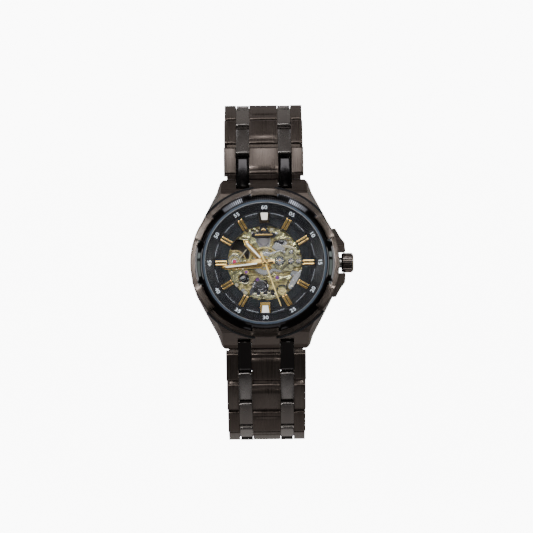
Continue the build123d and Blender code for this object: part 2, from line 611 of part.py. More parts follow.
# ------------------------------------------------------------------ the hands
def hand(ang, pts, z0, t, hub, bore, bevel):
    """A faceted hand along clock angle ang; pts are (radius, half width) from tail to tip."""
    d = clock(1.0, ang)
    th = atan2(d[1], d[0])
    loop = [(r, w) for r, w in pts] + [(r, -w) for r, w in reversed(pts) if w > 0]
    with BuildPart() as hd:
        with BuildSketch(Plane.XY.offset(z0)):
            Polygon(*local(O, th, loop), align=None)
            Circle(hub)
        extrude(amount=t)
        try_edges = hd.faces().sort_by(Axis.Z)[-1].edges()
        chamfer(try_edges, length=bevel, length2=bevel * 1.3)
        with BuildSketch(Plane.XY.offset(z0 - 0.1)):
            Circle(bore)
        extrude(amount=1, mode=Mode.SUBTRACT)
    return hd.part


save(hand(317.5, [(-2.5, 0.45), (0.0, 0.9), (1.4, 1.16), (7.5, 0.76), (8.8, 0.0)], 8.22, 0.24, 1.15,
          0.82, 0.08), "hour_hand")
save(hand(263.8, [(-2.65, 0.55), (0.0, 1.0), (1.8, 1.34), (11.2, 0.64), (12.5, 0.0)], 8.6, 0.24, 0.95,
          0.45, 0.08), "minute_hand")
save(hand(160.3, [(-3.1, 0.3), (0.0, 0.19), (13.1, 0.11)], 9.02, 0.18, 0.7, 0.19, 0.03), "second_hand")


# -------------------------------------------------------------- the bracelet
def frames(y0, z0, sgn, angles):
    out = []
    y, z = y0, z0
    for a in angles:
        c, s = cos(radians(a)), sin(radians(a))
        out.append(((y, z), (sgn * c, -s)))
        y, z = y + sgn * PITCH * c, z - PITCH * s
    return out, (y, z)


def pillow(xa, xb, r, under, T, sag=0.09):
    """Side outline of a link column: crowned top, rounded ends, the given underside."""
    q = r * (1 - cos(radians(45)))
    e = [Edge.make_three_point_arc((xa + r, T - sag, 0), ((xa + xb) / 2, T, 0), (xb - r, T - sag, 0)),
         Edge.make_three_point_arc((xb - r, T - sag, 0), (xb - q, T - sag - q, 0), (xb, T - sag - r, 0))]
    low = [(xb, T - sag - r)] + ([(xb, -T + 0.6)] if under[0][1] < -T + 0.1 else []) + under + [(xa, T - sag - r)]
    e += [Edge.make_line((*p, 0), (*n, 0)) for p, n in zip(low, low[1:])]
    e.append(Edge.make_three_point_arc((xa, T - sag - r, 0), (xa + q, T - sag - q, 0), (xa + r, T - sag, 0)))
    return e


def link(fr, sgn, i, last_pin=True):
    """One bracelet link and the pin at its far end."""
    (y, z), (dy, dz) = fr
    pl = Plane(origin=(0, y, z), x_dir=(0, dy, dz), z_dir=(sgn, 0, 0))
    k = 1.0 - 0.011 * i
    c0 = COL_C * k
    m0, m1 = COL_M0 * k, COL_M1 * k
    o0, o1 = COL_O0 * k, COL_O1 - TAPER * i
    T = LINK_T
    xa = 2.75 if (i == 0 and sgn > 0) else 2.3
    xb = PITCH + 1.2
    under = [(xb - 0.45, -T), (xa + 0.3, -T), (xa, -T + 0.3)]
    under_tab = [(PITCH - 2.0, -T + 0.3), (PITCH - 2.3, -T), (0.3, -T), (-0.35, -T + 0.05), (-0.95, -1.05),
                 (-1.3, -0.55), (-1.4, 0.0)]
    row = pillow(xa, xb, 0.62, under, T)
    tab = pillow(-1.4, PITCH - 2.0, 0.6, under_tab, T)
    with BuildPart() as lk:
        with BuildSketch(pl):
            make_face(row)
        extrude(amount=c0, both=True)
        for sx in (1, -1):
            with BuildSketch(pl.offset(sx * (o0 + o1) / 2)):
                make_face(row)
            extrude(amount=(o1 - o0) / 2, both=True)
            with BuildSketch(pl.offset(sx * (m0 + m1) / 2)):
                make_face(tab)
            extrude(amount=(m1 - m0) / 2, both=True)
        # the web that joins the columns below their surface
        with BuildSketch(pl):
            Polygon((1.62, -T + 0.35), (PITCH - 1.58, -T + 0.35), (PITCH - 1.58, 0.25), (PITCH - 2.1, T - 0.6),
                    (2.7, T - 0.6), (1.62, 0.25), align=None)
        extrude(amount=o1 - 0.8, both=True)
        # fine groove across the centre column
        with BuildSketch(pl):
            Polygon((3.62, T + 0.1), (3.62, T - 0.1), (3.74, T - 0.16), (3.86, T - 0.1), (3.86, T + 0.1),
                    align=None)
        extrude(amount=c0 + 0.05, both=True, mode=Mode.SUBTRACT)
        with BuildSketch(pl):
            with Locations((0, 0)):
                Circle(PIN_HOLE)
            with Locations((PITCH, 0)):
                Circle(PIN_R)
        extrude(amount=o1 - 0.35, both=True, mode=Mode.SUBTRACT)
    with BuildPart() as pin:
        with BuildSketch(pl):
            with Locations((PITCH, 0)):
                Circle(PIN_R)
        extrude(amount=o1 - 0.35, both=True)
    return Compound(children=[lk.part.solids()[0], pin.part.solids()[0]]), lk.part, pin.part


up, P8 = frames(LUG_Y, LUG_Z, 1, UPPER)
lo, Q7 = frames(-LUG_Y, LUG_Z, -1, LOWER)
for tag, fr, sgn in (("upper", up, 1), ("lower", lo, -1)):
    for i, f in enumerate(fr):
        comp, body, pin = link(f, sgn, i)
        save(comp, "%s_link_%d" % (tag, i + 1))
        print("   pin at y %.3f z %.3f" % f[0])
print("P8", P8, "Q7", Q7)

# ---------------------------------------------------------------- the clasp
CY = (P8[0] + Q7[0]) / 2
HALF = (P8[0] - Q7[0]) / 2
CZ = P8[1] + sqrt(CLASP_R ** 2 - HALF ** 2)      # centre of the clasp's curvature


def arc_pt(y, d):
    """Point at y on the circle that lies d below the pins' circle."""
    return (y, CZ - sqrt((CLASP_R + d) ** 2 - (y - CY) ** 2))


def arc_face(y0, y1, d0, d1, n=10):
    top = [arc_pt(y0 + (y1 - y0) * k / n, d0) for k in range(n + 1)]
    bot = [arc_pt(y1 - (y1 - y0) * k / n, d1) for k in range(n + 1)]
    return top + bot


CW = 10.35                                       # half width of the cover
HA_Y, HA_D = -24.0, 0.6                          # hinge cover / inner blade
HB_Y, HB_D = 9.6, -0.42                          # hinge inner blade / outer blade
HA = arc_pt(HA_Y, HA_D)
HB = arc_pt(HB_Y, HB_D)
TAB0, TAB1 = 4.05, 7.1                           # tabs at both ends of the clasp
BTN_Y = -8.0

with BuildPart() as clasp_cover:
    with BuildSketch(Plane.YZ):
        Polygon(*arc_face(-25.5, 11.6, 1.75, 2.75), align=None)
    extrude(amount=CW, both=True)
    for sx in (1, -1):
        with BuildSketch(Plane.YZ.offset(sx * (CW - 0.5))):
            Polygon(*arc_face(-25.5, 11.6, -0.3, 1.8), align=None)
        extrude(amount=0.5, both=True)
        # tab that hinges on the last upper link
        with BuildSketch(Plane.YZ.offset(sx * (TAB0 + TAB1) / 2)):
            Polygon(*([(P8[0] + 0.2, P8[1] + 1.3), (P8[0] + 1.0, P8[1] + 0.85), (P8[0] + 1.3, P8[1]),
                       (P8[0] + 1.0, P8[1] - 0.85), (P8[0] + 0.2, P8[1] - 1.3)]
                      + [arc_pt(11.4, 2.7), arc_pt(9.0, 2.7), arc_pt(9.0, 1.9), arc_pt(11.3, 0.6),
                         (P8[0] - 0.9, P8[1] + 0.9)]), align=None)
        extrude(amount=(TAB1 - TAB0) / 2, both=True)
        # knuckle of the inner blade's hinge
        with BuildSketch(Plane.YZ.offset(sx * 5.0)):
            with Locations(HA):
                Circle(0.85)
            Polygon((HA[0] - 0.6, HA[1]), (HA[0] + 0.6, HA[1]), arc_pt(HA_Y + 0.6, 1.9),
                    arc_pt(HA_Y - 0.6, 1.9), align=None)
        extrude(amount=1.8, both=True)
    with BuildSketch(Plane.YZ):
        with Locations(P8):
            Circle(PIN_HOLE)
    extrude(amount=12, both=True, mode=Mode.SUBTRACT)
    with BuildSketch(Plane.YZ):
        with Locations(HA):
            Circle(0.4)
    extrude(amount=6.9, both=True, mode=Mode.SUBTRACT)
    # windows for the two push buttons
    bz = arc_pt(BTN_Y, 0.75)[1]
    with BuildSketch(Plane.YZ):
        with Locations((BTN_Y, bz)):
            Rectangle(5.2, 1.5)
    extrude(amount=12, both=True, mode=Mode.SUBTRACT)
with BuildPart() as hinge_pin_a:
    with BuildSketch(Plane.YZ):
        with Locations(HA):
            Circle(0.4)
    extrude(amount=6.8, both=True)
save(Compound(children=[clasp_cover.part.solids()[0], hinge_pin_a.part.solids()[0]]), "clasp_cover")

with BuildPart() as blade_inner:
    with BuildSketch(Plane.YZ):
        Polygon(*arc_face(HA_Y + 0.2, HB_Y - 0.2, -0.35, 0.4), align=None)
    extrude(amount=6.8, both=True)
    # clear the cover's knuckles and the outer blade's knuckle
    with BuildSketch(Plane.XY.offset(-60)):
        for sx in (1, -1):
            with Locations((sx * 5.05, HA_Y + 0.1)):
                Rectangle(4.0, 2.3)
        with Locations((0, HB_Y)):
            Rectangle(6.3, 2.5)
        with Locations((0, -7.5)):
            Rectangle(5.0, 22.0)
    extrude(amount=60, mode=Mode.SUBTRACT)
    with BuildSketch(Plane.YZ):
        with Locations(HA):
            Circle(0.82)
    extrude(amount=2.95, both=True)
    for sx in (1, -1):
        with BuildSketch(Plane.YZ.offset(sx * 4.975)):
            with Locations(HB):
                Circle(0.8)
        extrude(amount=1.825, both=True)
    with BuildSketch(Plane.YZ):
        with Locations(HA):
            Circle(0.46)
        with Locations(HB):
            Circle(0.4)
    extrude(amount=6.9, both=True, mode=Mode.SUBTRACT)
with BuildPart() as hinge_pin_b:
    with BuildSketch(Plane.YZ):
        with Locations(HB):
            Circle(0.4)
    extrude(amount=6.7, both=True)
save(Compound(children=[blade_inner.part.solids()[0], hinge_pin_b.part.solids()[0]]), "clasp_blade_inner")

with BuildPart() as blade_outer:
    with BuildSketch(Plane.YZ):
        Polygon(*arc_face(-25.6, HB_Y - 0.2, -1.3, -0.5), align=None)
    extrude(amount=7.1, both=True)
    with BuildSketch(Plane.XY.offset(-60)):
        for sx in (1, -1):
            with Locations((sx * 5.1, HB_Y)):
                Rectangle(4.1, 2.5)
        with Locations((0, -7.5)):
            Rectangle(6.0, 24.0)
        with Locations((0, -26.5)):
            Rectangle(8.15, 3.0)
    extrude(amount=60, mode=Mode.SUBTRACT)
    with BuildSketch(Plane.YZ):
        with Locations(HB):
            Circle(0.8)
    extrude(amount=2.95, both=True)
    with BuildSketch(Plane.YZ):
        with Locations(HB):
            Circle(0.46)
    extrude(amount=6.9, both=True, mode=Mode.SUBTRACT)
    # open hooks that rest against the last lower link's pin
    for sx in (1, -1):
        with BuildSketch(Plane.YZ.offset(sx * 5.6)):
            Polygon(arc_pt(-24.9, -1.3), arc_pt(-24.9, -0.5), (Q7[0] + 1.35, Q7[1] - 0.55),
                    (Q7[0] + 0.85, Q7[1] - 0.55), (Q7[0] + 0.72, Q7[1]), (Q7[0] + 0.85, Q7[1] + 0.9),
                    (Q7[0] + 1.4, Q7[1] + 1.25), align=None)
        extrude(amount=1.45, both=True)
save(blade_outer.part, "clasp_blade_outer")

for sx, nm in ((-1, "button_left"), (1, "button_right")):
    with BuildPart() as button:
        with BuildSketch(Plane.YZ.offset(sx * 8.6)):
            with Locations((BTN_Y, bz)):
                Rectangle(5.0, 1.3)
        extrude(amount=sx * 2.3)
        with BuildSketch(Plane.YZ.offset(sx * 8.6)):
            with Locations((BTN_Y, bz)):
                Rectangle(6.4, 1.3)
        extrude(amount=sx * 0.65)
        with BuildSketch(Plane.YZ.offset(sx * 10.9)):
            with Locations((BTN_Y, bz)):
                Rectangle(4.6, 1.1)
        extrude(amount=sx * 0.35)
    save(button.part, nm)
print("HA", HA, "HB", HB, "bz", bz)
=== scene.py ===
import bpy, bmesh, json, math, random
from math import sin, cos, pi, radians, sqrt, atan2
from mathutils import Vector, Matrix, Euler


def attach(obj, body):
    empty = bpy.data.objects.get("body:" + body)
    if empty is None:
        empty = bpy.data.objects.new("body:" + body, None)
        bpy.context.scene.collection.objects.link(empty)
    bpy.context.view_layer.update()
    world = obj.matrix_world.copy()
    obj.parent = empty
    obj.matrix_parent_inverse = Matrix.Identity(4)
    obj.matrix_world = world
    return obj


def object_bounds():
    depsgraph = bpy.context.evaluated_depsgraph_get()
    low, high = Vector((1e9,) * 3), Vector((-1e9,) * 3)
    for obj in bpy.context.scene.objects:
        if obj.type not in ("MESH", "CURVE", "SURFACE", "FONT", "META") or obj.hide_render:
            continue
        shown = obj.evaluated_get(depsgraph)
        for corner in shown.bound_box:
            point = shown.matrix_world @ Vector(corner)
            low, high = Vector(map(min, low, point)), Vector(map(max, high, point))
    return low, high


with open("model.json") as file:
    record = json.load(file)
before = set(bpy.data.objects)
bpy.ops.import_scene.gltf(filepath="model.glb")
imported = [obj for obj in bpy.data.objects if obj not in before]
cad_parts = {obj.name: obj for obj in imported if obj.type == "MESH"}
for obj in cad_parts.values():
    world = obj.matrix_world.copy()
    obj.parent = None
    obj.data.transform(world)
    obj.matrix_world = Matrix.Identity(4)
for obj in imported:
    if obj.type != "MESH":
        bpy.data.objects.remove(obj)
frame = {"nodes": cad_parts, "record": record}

cad_lo, cad_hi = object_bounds()
MM = 0.001
N = frame["nodes"]
BODY_OF = {n: b for b, ns in frame["record"]["behaviour"]["bodies"].items() for n in ns}

# --------------------------------------------------------------- node helpers
class Mat:
    """A small builder around one Principled material."""
    def __init__(self, name):
        self.m = bpy.data.materials.new(name)
        self.m.use_nodes = True
        self.nt = self.m.node_tree
        self.nt.nodes.clear()
        self.out = self.nt.nodes.new("ShaderNodeOutputMaterial")
        self.p = self.nt.nodes.new("ShaderNodeBsdfPrincipled")
        self.nt.links.new(self.p.outputs[0], self.out.inputs["Surface"])
        self.tc = self.nt.nodes.new("ShaderNodeTexCoord")

    def new(self, kind, **k):
        n = self.nt.nodes.new(kind)
        for a, v in k.items():
            setattr(n, a, v)
        return n

    def link(self, a, b):
        self.nt.links.new(a, b)

    def val(self, name, v):
        self.p.inputs[name].default_value = v

    def coords(self, scale=(1, 1, 1), rot=(0, 0, 0), loc=(0, 0, 0)):
        mp = self.new("ShaderNodeMapping")
        mp.inputs["Location"].default_value = loc
        mp.inputs["Rotation"].default_value = rot
        mp.inputs["Scale"].default_value = scale
        self.link(self.tc.outputs["Object"], mp.inputs["Vector"])
        return mp.outputs[0]

    def noise(self, vec, scale, detail=2.0, rough=0.5, dist=0.0):
        n = self.new("ShaderNodeTexNoise")
        n.inputs["Scale"].default_value = scale
        n.inputs["Detail"].default_value = detail
        n.inputs["Roughness"].default_value = rough
        n.inputs["Distortion"].default_value = dist
        self.link(vec, n.inputs["Vector"])
        return n.outputs["Fac"]

    def math(self, op, a, b=None, c=None, clamp=False):
        n = self.new("ShaderNodeMath", operation=op, use_clamp=clamp)
        for i, v in enumerate((a, b, c)):
            if v is None:
                continue
            if isinstance(v, (int, float)):
                n.inputs[i].default_value = v
            else:
                self.link(v, n.inputs[i])
        return n.outputs[0]

    def ramp(self, fac, stops, interp="LINEAR"):
        r = self.new("ShaderNodeValToRGB")
        r.color_ramp.interpolation = interp
        el = r.color_ramp.elements
        while len(el) > 1:
            el.remove(el[-1])
        el[0].position = stops[0][0]
        el[0].color = (*stops[0][1], 1)
        for pos, c in stops[1:]:
            e = el.new(pos)
            e.color = (*c, 1)
        self.link(fac, r.inputs[0])
        return r.outputs[0]

    def rng(self, fac, a0, a1, b0, b1, smooth=False):
        n = self.new("ShaderNodeMapRange")
        if smooth:
            n.interpolation_type = "SMOOTHSTEP"
        n.inputs["From Min"].default_value = a0
        n.inputs["From Max"].default_value = a1
        n.inputs["To Min"].default_value = b0
        n.inputs["To Max"].default_value = b1
        self.link(fac, n.inputs["Value"])
        return n.outputs["Result"]

    def mixc(self, fac, a, b):
        n = self.new("ShaderNodeMix", data_type="RGBA")
        if isinstance(fac, (int, float)):
            n.inputs[0].default_value = fac
        else:
            self.link(fac, n.inputs[0])
        for i, v in ((6, a), (7, b)):
            if isinstance(v, tuple):
                n.inputs[i].default_value = (*v, 1)
            else:
                self.link(v, n.inputs[i])
        return n.outputs[2]

    def mixf(self, fac, a, b):
        n = self.new("ShaderNodeMix", data_type="FLOAT")
        self.link(fac, n.inputs[0])
        for i, v in ((2, a), (3, b)):
            if isinstance(v, (int, float)):
                n.inputs[i].default_value = v
            else:
                self.link(v, n.inputs[i])
        return n.outputs[0]

    def bump(self, height, strength, dist=0.0001, chain=None):
        b = self.new("ShaderNodeBump")
        b.inputs["Strength"].default_value = strength
        b.inputs["Distance"].default_value = dist
        self.link(height, b.inputs["Height"])
        if chain is not None:
            self.link(chain, b.inputs["Normal"])
        return b.outputs[0]

    def xyz(self):
        s = self.new("ShaderNodeSeparateXYZ")
        self.link(self.tc.outputs["Object"], s.inputs[0])
        return s.outputs

    def set(self, name, sock):
        self.link(sock, self.p.inputs[name])


def radius_of(M):
    x, y, z = M.xyz()
    return M.math("SQRT", M.math("ADD", M.math("MULTIPLY", x, x), M.math("MULTIPLY", y, y)))


def brushed(name, color, color2, rough=(0.26, 0.40), scale=(5200, 60, 60), rot=(0, 0, 0), bump=0.25, aniso=0.35):
    """Satin-brushed metal: fine streaks along one direction and blotches."""
    M = Mat(name)
    M.val("Metallic", 1.0)
    v = M.coords(scale, rot)
    streak = M.noise(v, 1.0, 3.0, 0.65)
    wide = M.noise(M.coords((220, 220, 220)), 1.0, 2.0)
    M.set("Base Color", M.mixc(M.math("ADD", M.math("MULTIPLY", streak, 0.75), M.math("MULTIPLY", wide, 0.25)),
                               color, color2))
    M.set("Roughness", M.rng(streak, 0.3, 0.7, rough[0], rough[1]))
    M.set("Normal", M.bump(streak, bump, 0.00002))
    M.val("Anisotropic", aniso)
    return M


def polished(name, color, color2, rough=(0.05, 0.12), bump=0.04):
    """Polished metal: faint swirl, fingerprints in the roughness, slight tint variation."""
    M = Mat(name)
    M.val("Metallic", 1.0)
    a = M.noise(M.coords((1, 1, 1)), 380.0, 4.0, 0.6)
    b = M.noise(M.coords((1, 1, 1)), 2600.0, 2.0, 0.5)
    M.set("Base Color", M.mixc(a, color, color2))
    M.set("Roughness", M.rng(M.math("MULTIPLY", a, b), 0.1, 0.5, rough[0], rough[1]))
    M.set("Normal", M.bump(b, bump, 0.00001))
    return M


GUN = (0.080, 0.066, 0.059)
GUN2 = (0.135, 0.112, 0.100)
GUN3 = (0.165, 0.138, 0.124)
GUNP = (0.085, 0.080, 0.082)
GUNP2 = (0.12, 0.113, 0.115)

m_case = brushed("case_brushed", GUN, GUN2, (0.26, 0.38), (60, 4200, 900), bump=0.22)
m_steel = brushed("pin_steel", (0.33, 0.32, 0.31), (0.5, 0.49, 0.48), (0.2, 0.32), (200, 5200, 5200), bump=0.15)


def bezel_material():
    """Polished slope with brushed flange and tabs, split by radius, angle and height."""
    M = Mat("bezel_metal")
    M.val("Metallic", 1.0)
    x, y, z = M.xyz()
    r = radius_of(M)
    ang = M.math("ARCTAN2", y, x)
    # six tabs centred on 30, 90, 150 ... degrees
    t = M.math("MULTIPLY", ang, 6.0)
    tabs = M.math("MULTIPLY", M.math("COSINE", M.math("ADD", t, pi)), 1.0)          # 1 at the tab centres
    is_tab = M.math("MULTIPLY", M.math("GREATER_THAN", tabs, cos(radians(66.0))),
                    M.math("GREATER_THAN", r, 0.01868))
    top = M.math("GREATER_THAN", z, 0.01015)
    is_tab = M.math("MULTIPLY", is_tab, top)
    flange = M.math("MULTIPLY", M.math("GREATER_THAN", r, 0.01968), M.math("LESS_THAN", z, 0.0096))
    br = M.math("MAXIMUM", is_tab, flange)
    streak_c = M.noise(M.coords((2600, 2600, 60)), 1.0, 3.0, 0.6)
    # circular brushing for the flange, straight for the tabs
    cv = M.new("ShaderNodeCombineXYZ")
    M.link(M.math("MULTIPLY", r, 9000.0), cv.inputs[0])
    M.link(M.math("MULTIPLY", ang, 6.0), cv.inputs[1])
    circ = M.noise(cv.outputs[0], 1.0, 2.0, 0.6)
    a = M.noise(M.coords((1, 1, 1)), 300.0, 4.0, 0.6)
    # painted glints: bright base-colour stripes like a coin-edge serration on the slope near twelve o'clock, faded in
    # patches, standing in for reflected glints
    teeth = M.rng(M.math("SINE", M.math("MULTIPLY", ang, 204.0)), -0.1, 0.5, 0.0, 1.0)
    fade = M.math("MULTIPLY", M.rng(M.noise(M.coords((1, 1, 1)), 260.0, 1.0, 0.5), 0.35, 0.62, 0.2, 1.0),
                  M.rng(M.math("DIVIDE", y, r), 0.78, 0.90, 0.0, 1.0))
    glint = M.math("MULTIPLY", teeth, fade)
    M.set("Base Color", M.mixc(br, M.mixc(glint, M.mixc(a, (0.022, 0.021, 0.023), (0.036, 0.035, 0.037)),
                                          (0.26, 0.27, 0.30)),
                               M.mixc(circ, (0.055, 0.046, 0.041), (0.11, 0.093, 0.083))))
    M.set("Roughness", M.mixf(br, M.rng(a, 0.3, 0.7, 0.04, 0.09), M.rng(circ, 0.3, 0.7, 0.24, 0.36)))
    h = M.math("MULTIPLY", circ, br)
    M.set("Normal", M.bump(h, 0.18, 0.00002))
    return M


def link_material(i, ang, sgn):
    """Columns split by width: satin outer and centre columns, polished ones between."""
    M = Mat("link_%s_%d" % ("u" if sgn > 0 else "l", i + 1))
    M.val("Metallic", 1.0)
    k = 1.0 - 0.011 * i
    # polished column tones: near-black on the first upper link as painted shade for its dark reflection; darker on the
    # first lower link and lighter on the later links
    pol = ((0.022, 0.021, 0.022), (0.034, 0.032, 0.033)) if i == 0 and sgn > 0 else \
        ((GUNP, GUNP2) if i == 0 else ((0.135, 0.124, 0.120), (0.20, 0.186, 0.180)))
    x, y, z = M.xyz()
    ax = M.math("ABSOLUTE", x)
    inter = M.math("MULTIPLY", M.math("GREATER_THAN", ax, 4.125 * k * MM),
                   M.math("LESS_THAN", ax, 7.925 * k * MM))
    rot = radians(ang) * (1 if sgn > 0 else -1)
    v = M.coords((6500, 90, 90), (rot, 0, 0))
    streak = M.noise(v, 1.0, 3.0, 0.65)
    wide = M.noise(M.coords((1, 1, 1)), 240.0, 3.0, 0.6)
    fine = M.noise(M.coords((1, 1, 1)), 2400.0, 2.0, 0.5)
    M.set("Base Color", M.mixc(inter, M.mixc(M.math("MULTIPLY", streak, wide), GUN, GUN3),
                               M.mixc(wide, *pol)))
    M.set("Roughness", M.mixf(inter, M.rng(streak, 0.3, 0.7, 0.24, 0.4), M.rng(wide, 0.3, 0.7, 0.05 if i == 0 else 0.2, 0.13 if i == 0 else 0.3)))
    M.set("Normal", M.bump(M.mixf(inter, streak, fine), 0.14, 0.00002))
    return M


def gilt(name, base, dark, perl=0.0, rough=(0.18, 0.34), sat=0.35, scale=1.0, relief=0.0006):
    """Gilt movement metal: fine straight grain, circular graining and shallow engraved scrollwork."""
    M = Mat(name)
    M.val("Metallic", 1.0)
    co = M.coords((1, 1, 1))
    vor = M.new("ShaderNodeTexVoronoi")
    vor.inputs["Scale"].default_value = 1300.0 * scale
    vor.inputs["Randomness"].default_value = 0.2
    M.link(co, vor.inputs["Vector"])
    rings = M.math("SINE", M.math("MULTIPLY", vor.outputs["Distance"], 40.0))
    scroll = M.noise(co, 330.0 * scale, 1.0, 0.4, 1.6)
    band = M.math("ABSOLUTE", M.math("SUBTRACT", M.math("FRACT", M.math("MULTIPLY", scroll, 5.0)), 0.5))
    line = M.rng(band, 0.0, 0.07, 0.0, 1.0, True)
    grain = M.noise(M.coords((300, 5200, 300), (0, 0, 0.5)), 1.0, 2.0, 0.6)
    blot = M.noise(co, 260.0, 3.0, 0.6)
    col = M.mixc(M.math("ADD", M.math("MULTIPLY", blot, 0.6), M.math("MULTIPLY", grain, 0.4)),
                 tuple(c * 0.72 for c in base), tuple(min(1, c * 1.22) for c in base))
    col = M.mixc(M.math("MULTIPLY", M.math("SUBTRACT", 1.0, line), sat), col, dark)
    M.set("Base Color", col)
    M.set("Roughness", M.rng(grain, 0.3, 0.7, rough[0], rough[1]))
    big = M.noise(co, 420.0 * scale, 1.5, 0.45, 0.6)
    n0 = M.bump(big, 1.0, relief)
    n1 = M.bump(line, 0.25, 0.00004, n0)
    n2 = M.bump(M.math("ADD", M.math("MULTIPLY", rings, perl), M.math("MULTIPLY", grain, 0.5)), 0.2, 0.00001, n1)
    M.set("Normal", n2)
    return M


m_plate = gilt("gilt_plate", (0.90, 0.83, 0.45), (0.10, 0.08, 0.03), 0.35, (0.10, 0.22), 0.4, 0.9, 0.00055)
# painted shade: the main plate is a much darker gilt than the bridges so the gaps between them read dark
m_plate_shade = gilt("gilt_plate_shaded", (0.30, 0.26, 0.125), (0.03, 0.022, 0.01), 0.5, (0.2, 0.36), 0.85, 1.8, 0.00045)
m_bridge = gilt("gilt_bridge", (0.95, 0.89, 0.53), (0.26, 0.21, 0.08), 0.1, (0.09, 0.2), 0.15, 0.9, 0.0003)
m_rim = polished("gilt_rim", (0.94, 0.88, 0.60), (1.0, 0.96, 0.76), (0.12, 0.2), 0.04)
m_yellow = polished("yellow_gold", (0.80, 0.66, 0.26), (0.92, 0.80, 0.42), (0.22, 0.34), 0.05)
m_wheel = brushed("gilt_wheel", (0.62, 0.48, 0.22), (0.82, 0.68, 0.36), (0.2, 0.32), (900, 900, 60), bump=0.12)
m_gold = polished("hand_gold", (0.76, 0.50, 0.15), (0.92, 0.66, 0.27), (0.12, 0.22), 0.05)
m_marker = Mat("marker_gold")
m_marker.val("Metallic", 1.0)
_n = m_marker.noise(m_marker.coords((1, 1, 1)), 420.0, 3.0, 0.6)
_x, _y, _z = m_marker.xyz()
# painted shade: the marker frame at twelve o'clock is coloured near-black
_at12_shade = m_marker.math("MULTIPLY", m_marker.math("LESS_THAN", m_marker.math("ABSOLUTE", _x), 1.4 * MM),
                      m_marker.math("GREATER_THAN", _y, 0.0))
m_marker.set("Base Color", m_marker.mixc(_at12_shade, m_marker.mixc(_n, (0.76, 0.50, 0.15), (0.92, 0.66, 0.27)),
                                         (0.07, 0.05, 0.03)))
m_marker.set("Roughness", m_marker.rng(_n, 0.3, 0.7, 0.12, 0.22))
m_second = polished("second_gold", (0.60, 0.46, 0.17), (0.72, 0.57, 0.25), (0.30, 0.42), 0.03)
m_bright = polished("bright_steel", (0.66, 0.67, 0.68), (0.88, 0.89, 0.90), (0.16, 0.32), 0.08)
m_dark = polished("dark_steel", (0.05, 0.05, 0.056), (0.10, 0.10, 0.11), (0.10, 0.22), 0.06)
m_grey = brushed("grey_steel", (0.16, 0.15, 0.16), (0.27, 0.26, 0.27), (0.28, 0.42), (3200, 500, 60), bump=0.2)
m_shade = brushed("shadow_steel", (0.035, 0.032, 0.03), (0.07, 0.065, 0.06), (0.28, 0.42), (3200, 500, 60), bump=0.2)
m_smoke = polished("smoked_steel", (0.10, 0.10, 0.11), (0.26, 0.26, 0.28), (0.08, 0.2), 0.3)
m_rotor = brushed("rotor_steel", (0.20, 0.19, 0.18), (0.34, 0.33, 0.31), (0.22, 0.36), (1400, 200, 60), bump=0.2)
m_blue = polished("blued_spring", (0.12, 0.15, 0.25), (0.2, 0.25, 0.4), (0.2, 0.3), 0.05)


def plastic(name, c1, c2, rough, scale=900.0, bump=0.1, spec=0.5):
    M = Mat(name)
    a = M.noise(M.coords((1, 1, 1)), scale, 4.0, 0.6)
    M.set("Base Color", M.mixc(a, c1, c2))
    M.set("Roughness", M.rng(a, 0.3, 0.7, rough[0], rough[1]))
    M.set("Normal", M.bump(a, bump, 0.00002))
    M.val("Specular IOR Level", spec)
    return M


m_gasket = plastic("gasket_rubber", (0.012, 0.012, 0.013), (0.03, 0.03, 0.032), (0.5, 0.7))
m_holder = plastic("holder_plastic", (0.04, 0.04, 0.042), (0.07, 0.07, 0.075), (0.4, 0.6))
m_black = plastic("dial_black", (0.0025, 0.003, 0.004), (0.006, 0.0065, 0.009), (0.36, 0.5), 3000.0, 0.05, 0.14)
m_lume = plastic("lume_white", (0.70, 0.69, 0.63), (0.80, 0.79, 0.72), (0.45, 0.65), 4000.0, 0.15)
m_ink = plastic("ink_white", (0.55, 0.62, 0.70), (0.70, 0.76, 0.83), (0.4, 0.6), 5000.0, 0.1)
m_ruby = plastic("ruby", (0.055, 0.02, 0.09), (0.15, 0.055, 0.2), (0.06, 0.14), 1200.0, 0.02)
m_pink = plastic("pink_ruby", (0.26, 0.012, 0.05), (0.45, 0.05, 0.11), (0.06, 0.14), 1200.0, 0.02)
m_track = plastic("track_grey", (0.30, 0.33, 0.37), (0.42, 0.45, 0.50), (0.4, 0.6), 5000.0, 0.1)


def slate_material():
    M = Mat("dial_slate")
    M.val("Metallic", 0.55)
    r = radius_of(M)
    x, y, z = M.xyz()
    ang = M.math("ARCTAN2", y, x)
    cv = M.new("ShaderNodeCombineXYZ")
    M.link(M.math("MULTIPLY", r, 300.0), cv.inputs[0])
    M.link(M.math("MULTIPLY", ang, 90.0), cv.inputs[1])
    sun = M.noise(cv.outputs[0], 1.0, 2.0, 0.6)
    M.set("Base Color", M.mixc(sun, (0.0035, 0.005, 0.007), (0.008, 0.011, 0.0145)))
    M.set("Roughness", M.rng(sun, 0.3, 0.7, 0.30, 0.42))
    M.set("Normal", M.bump(sun, 0.06, 0.00002))
    return M


m_slate = slate_material()


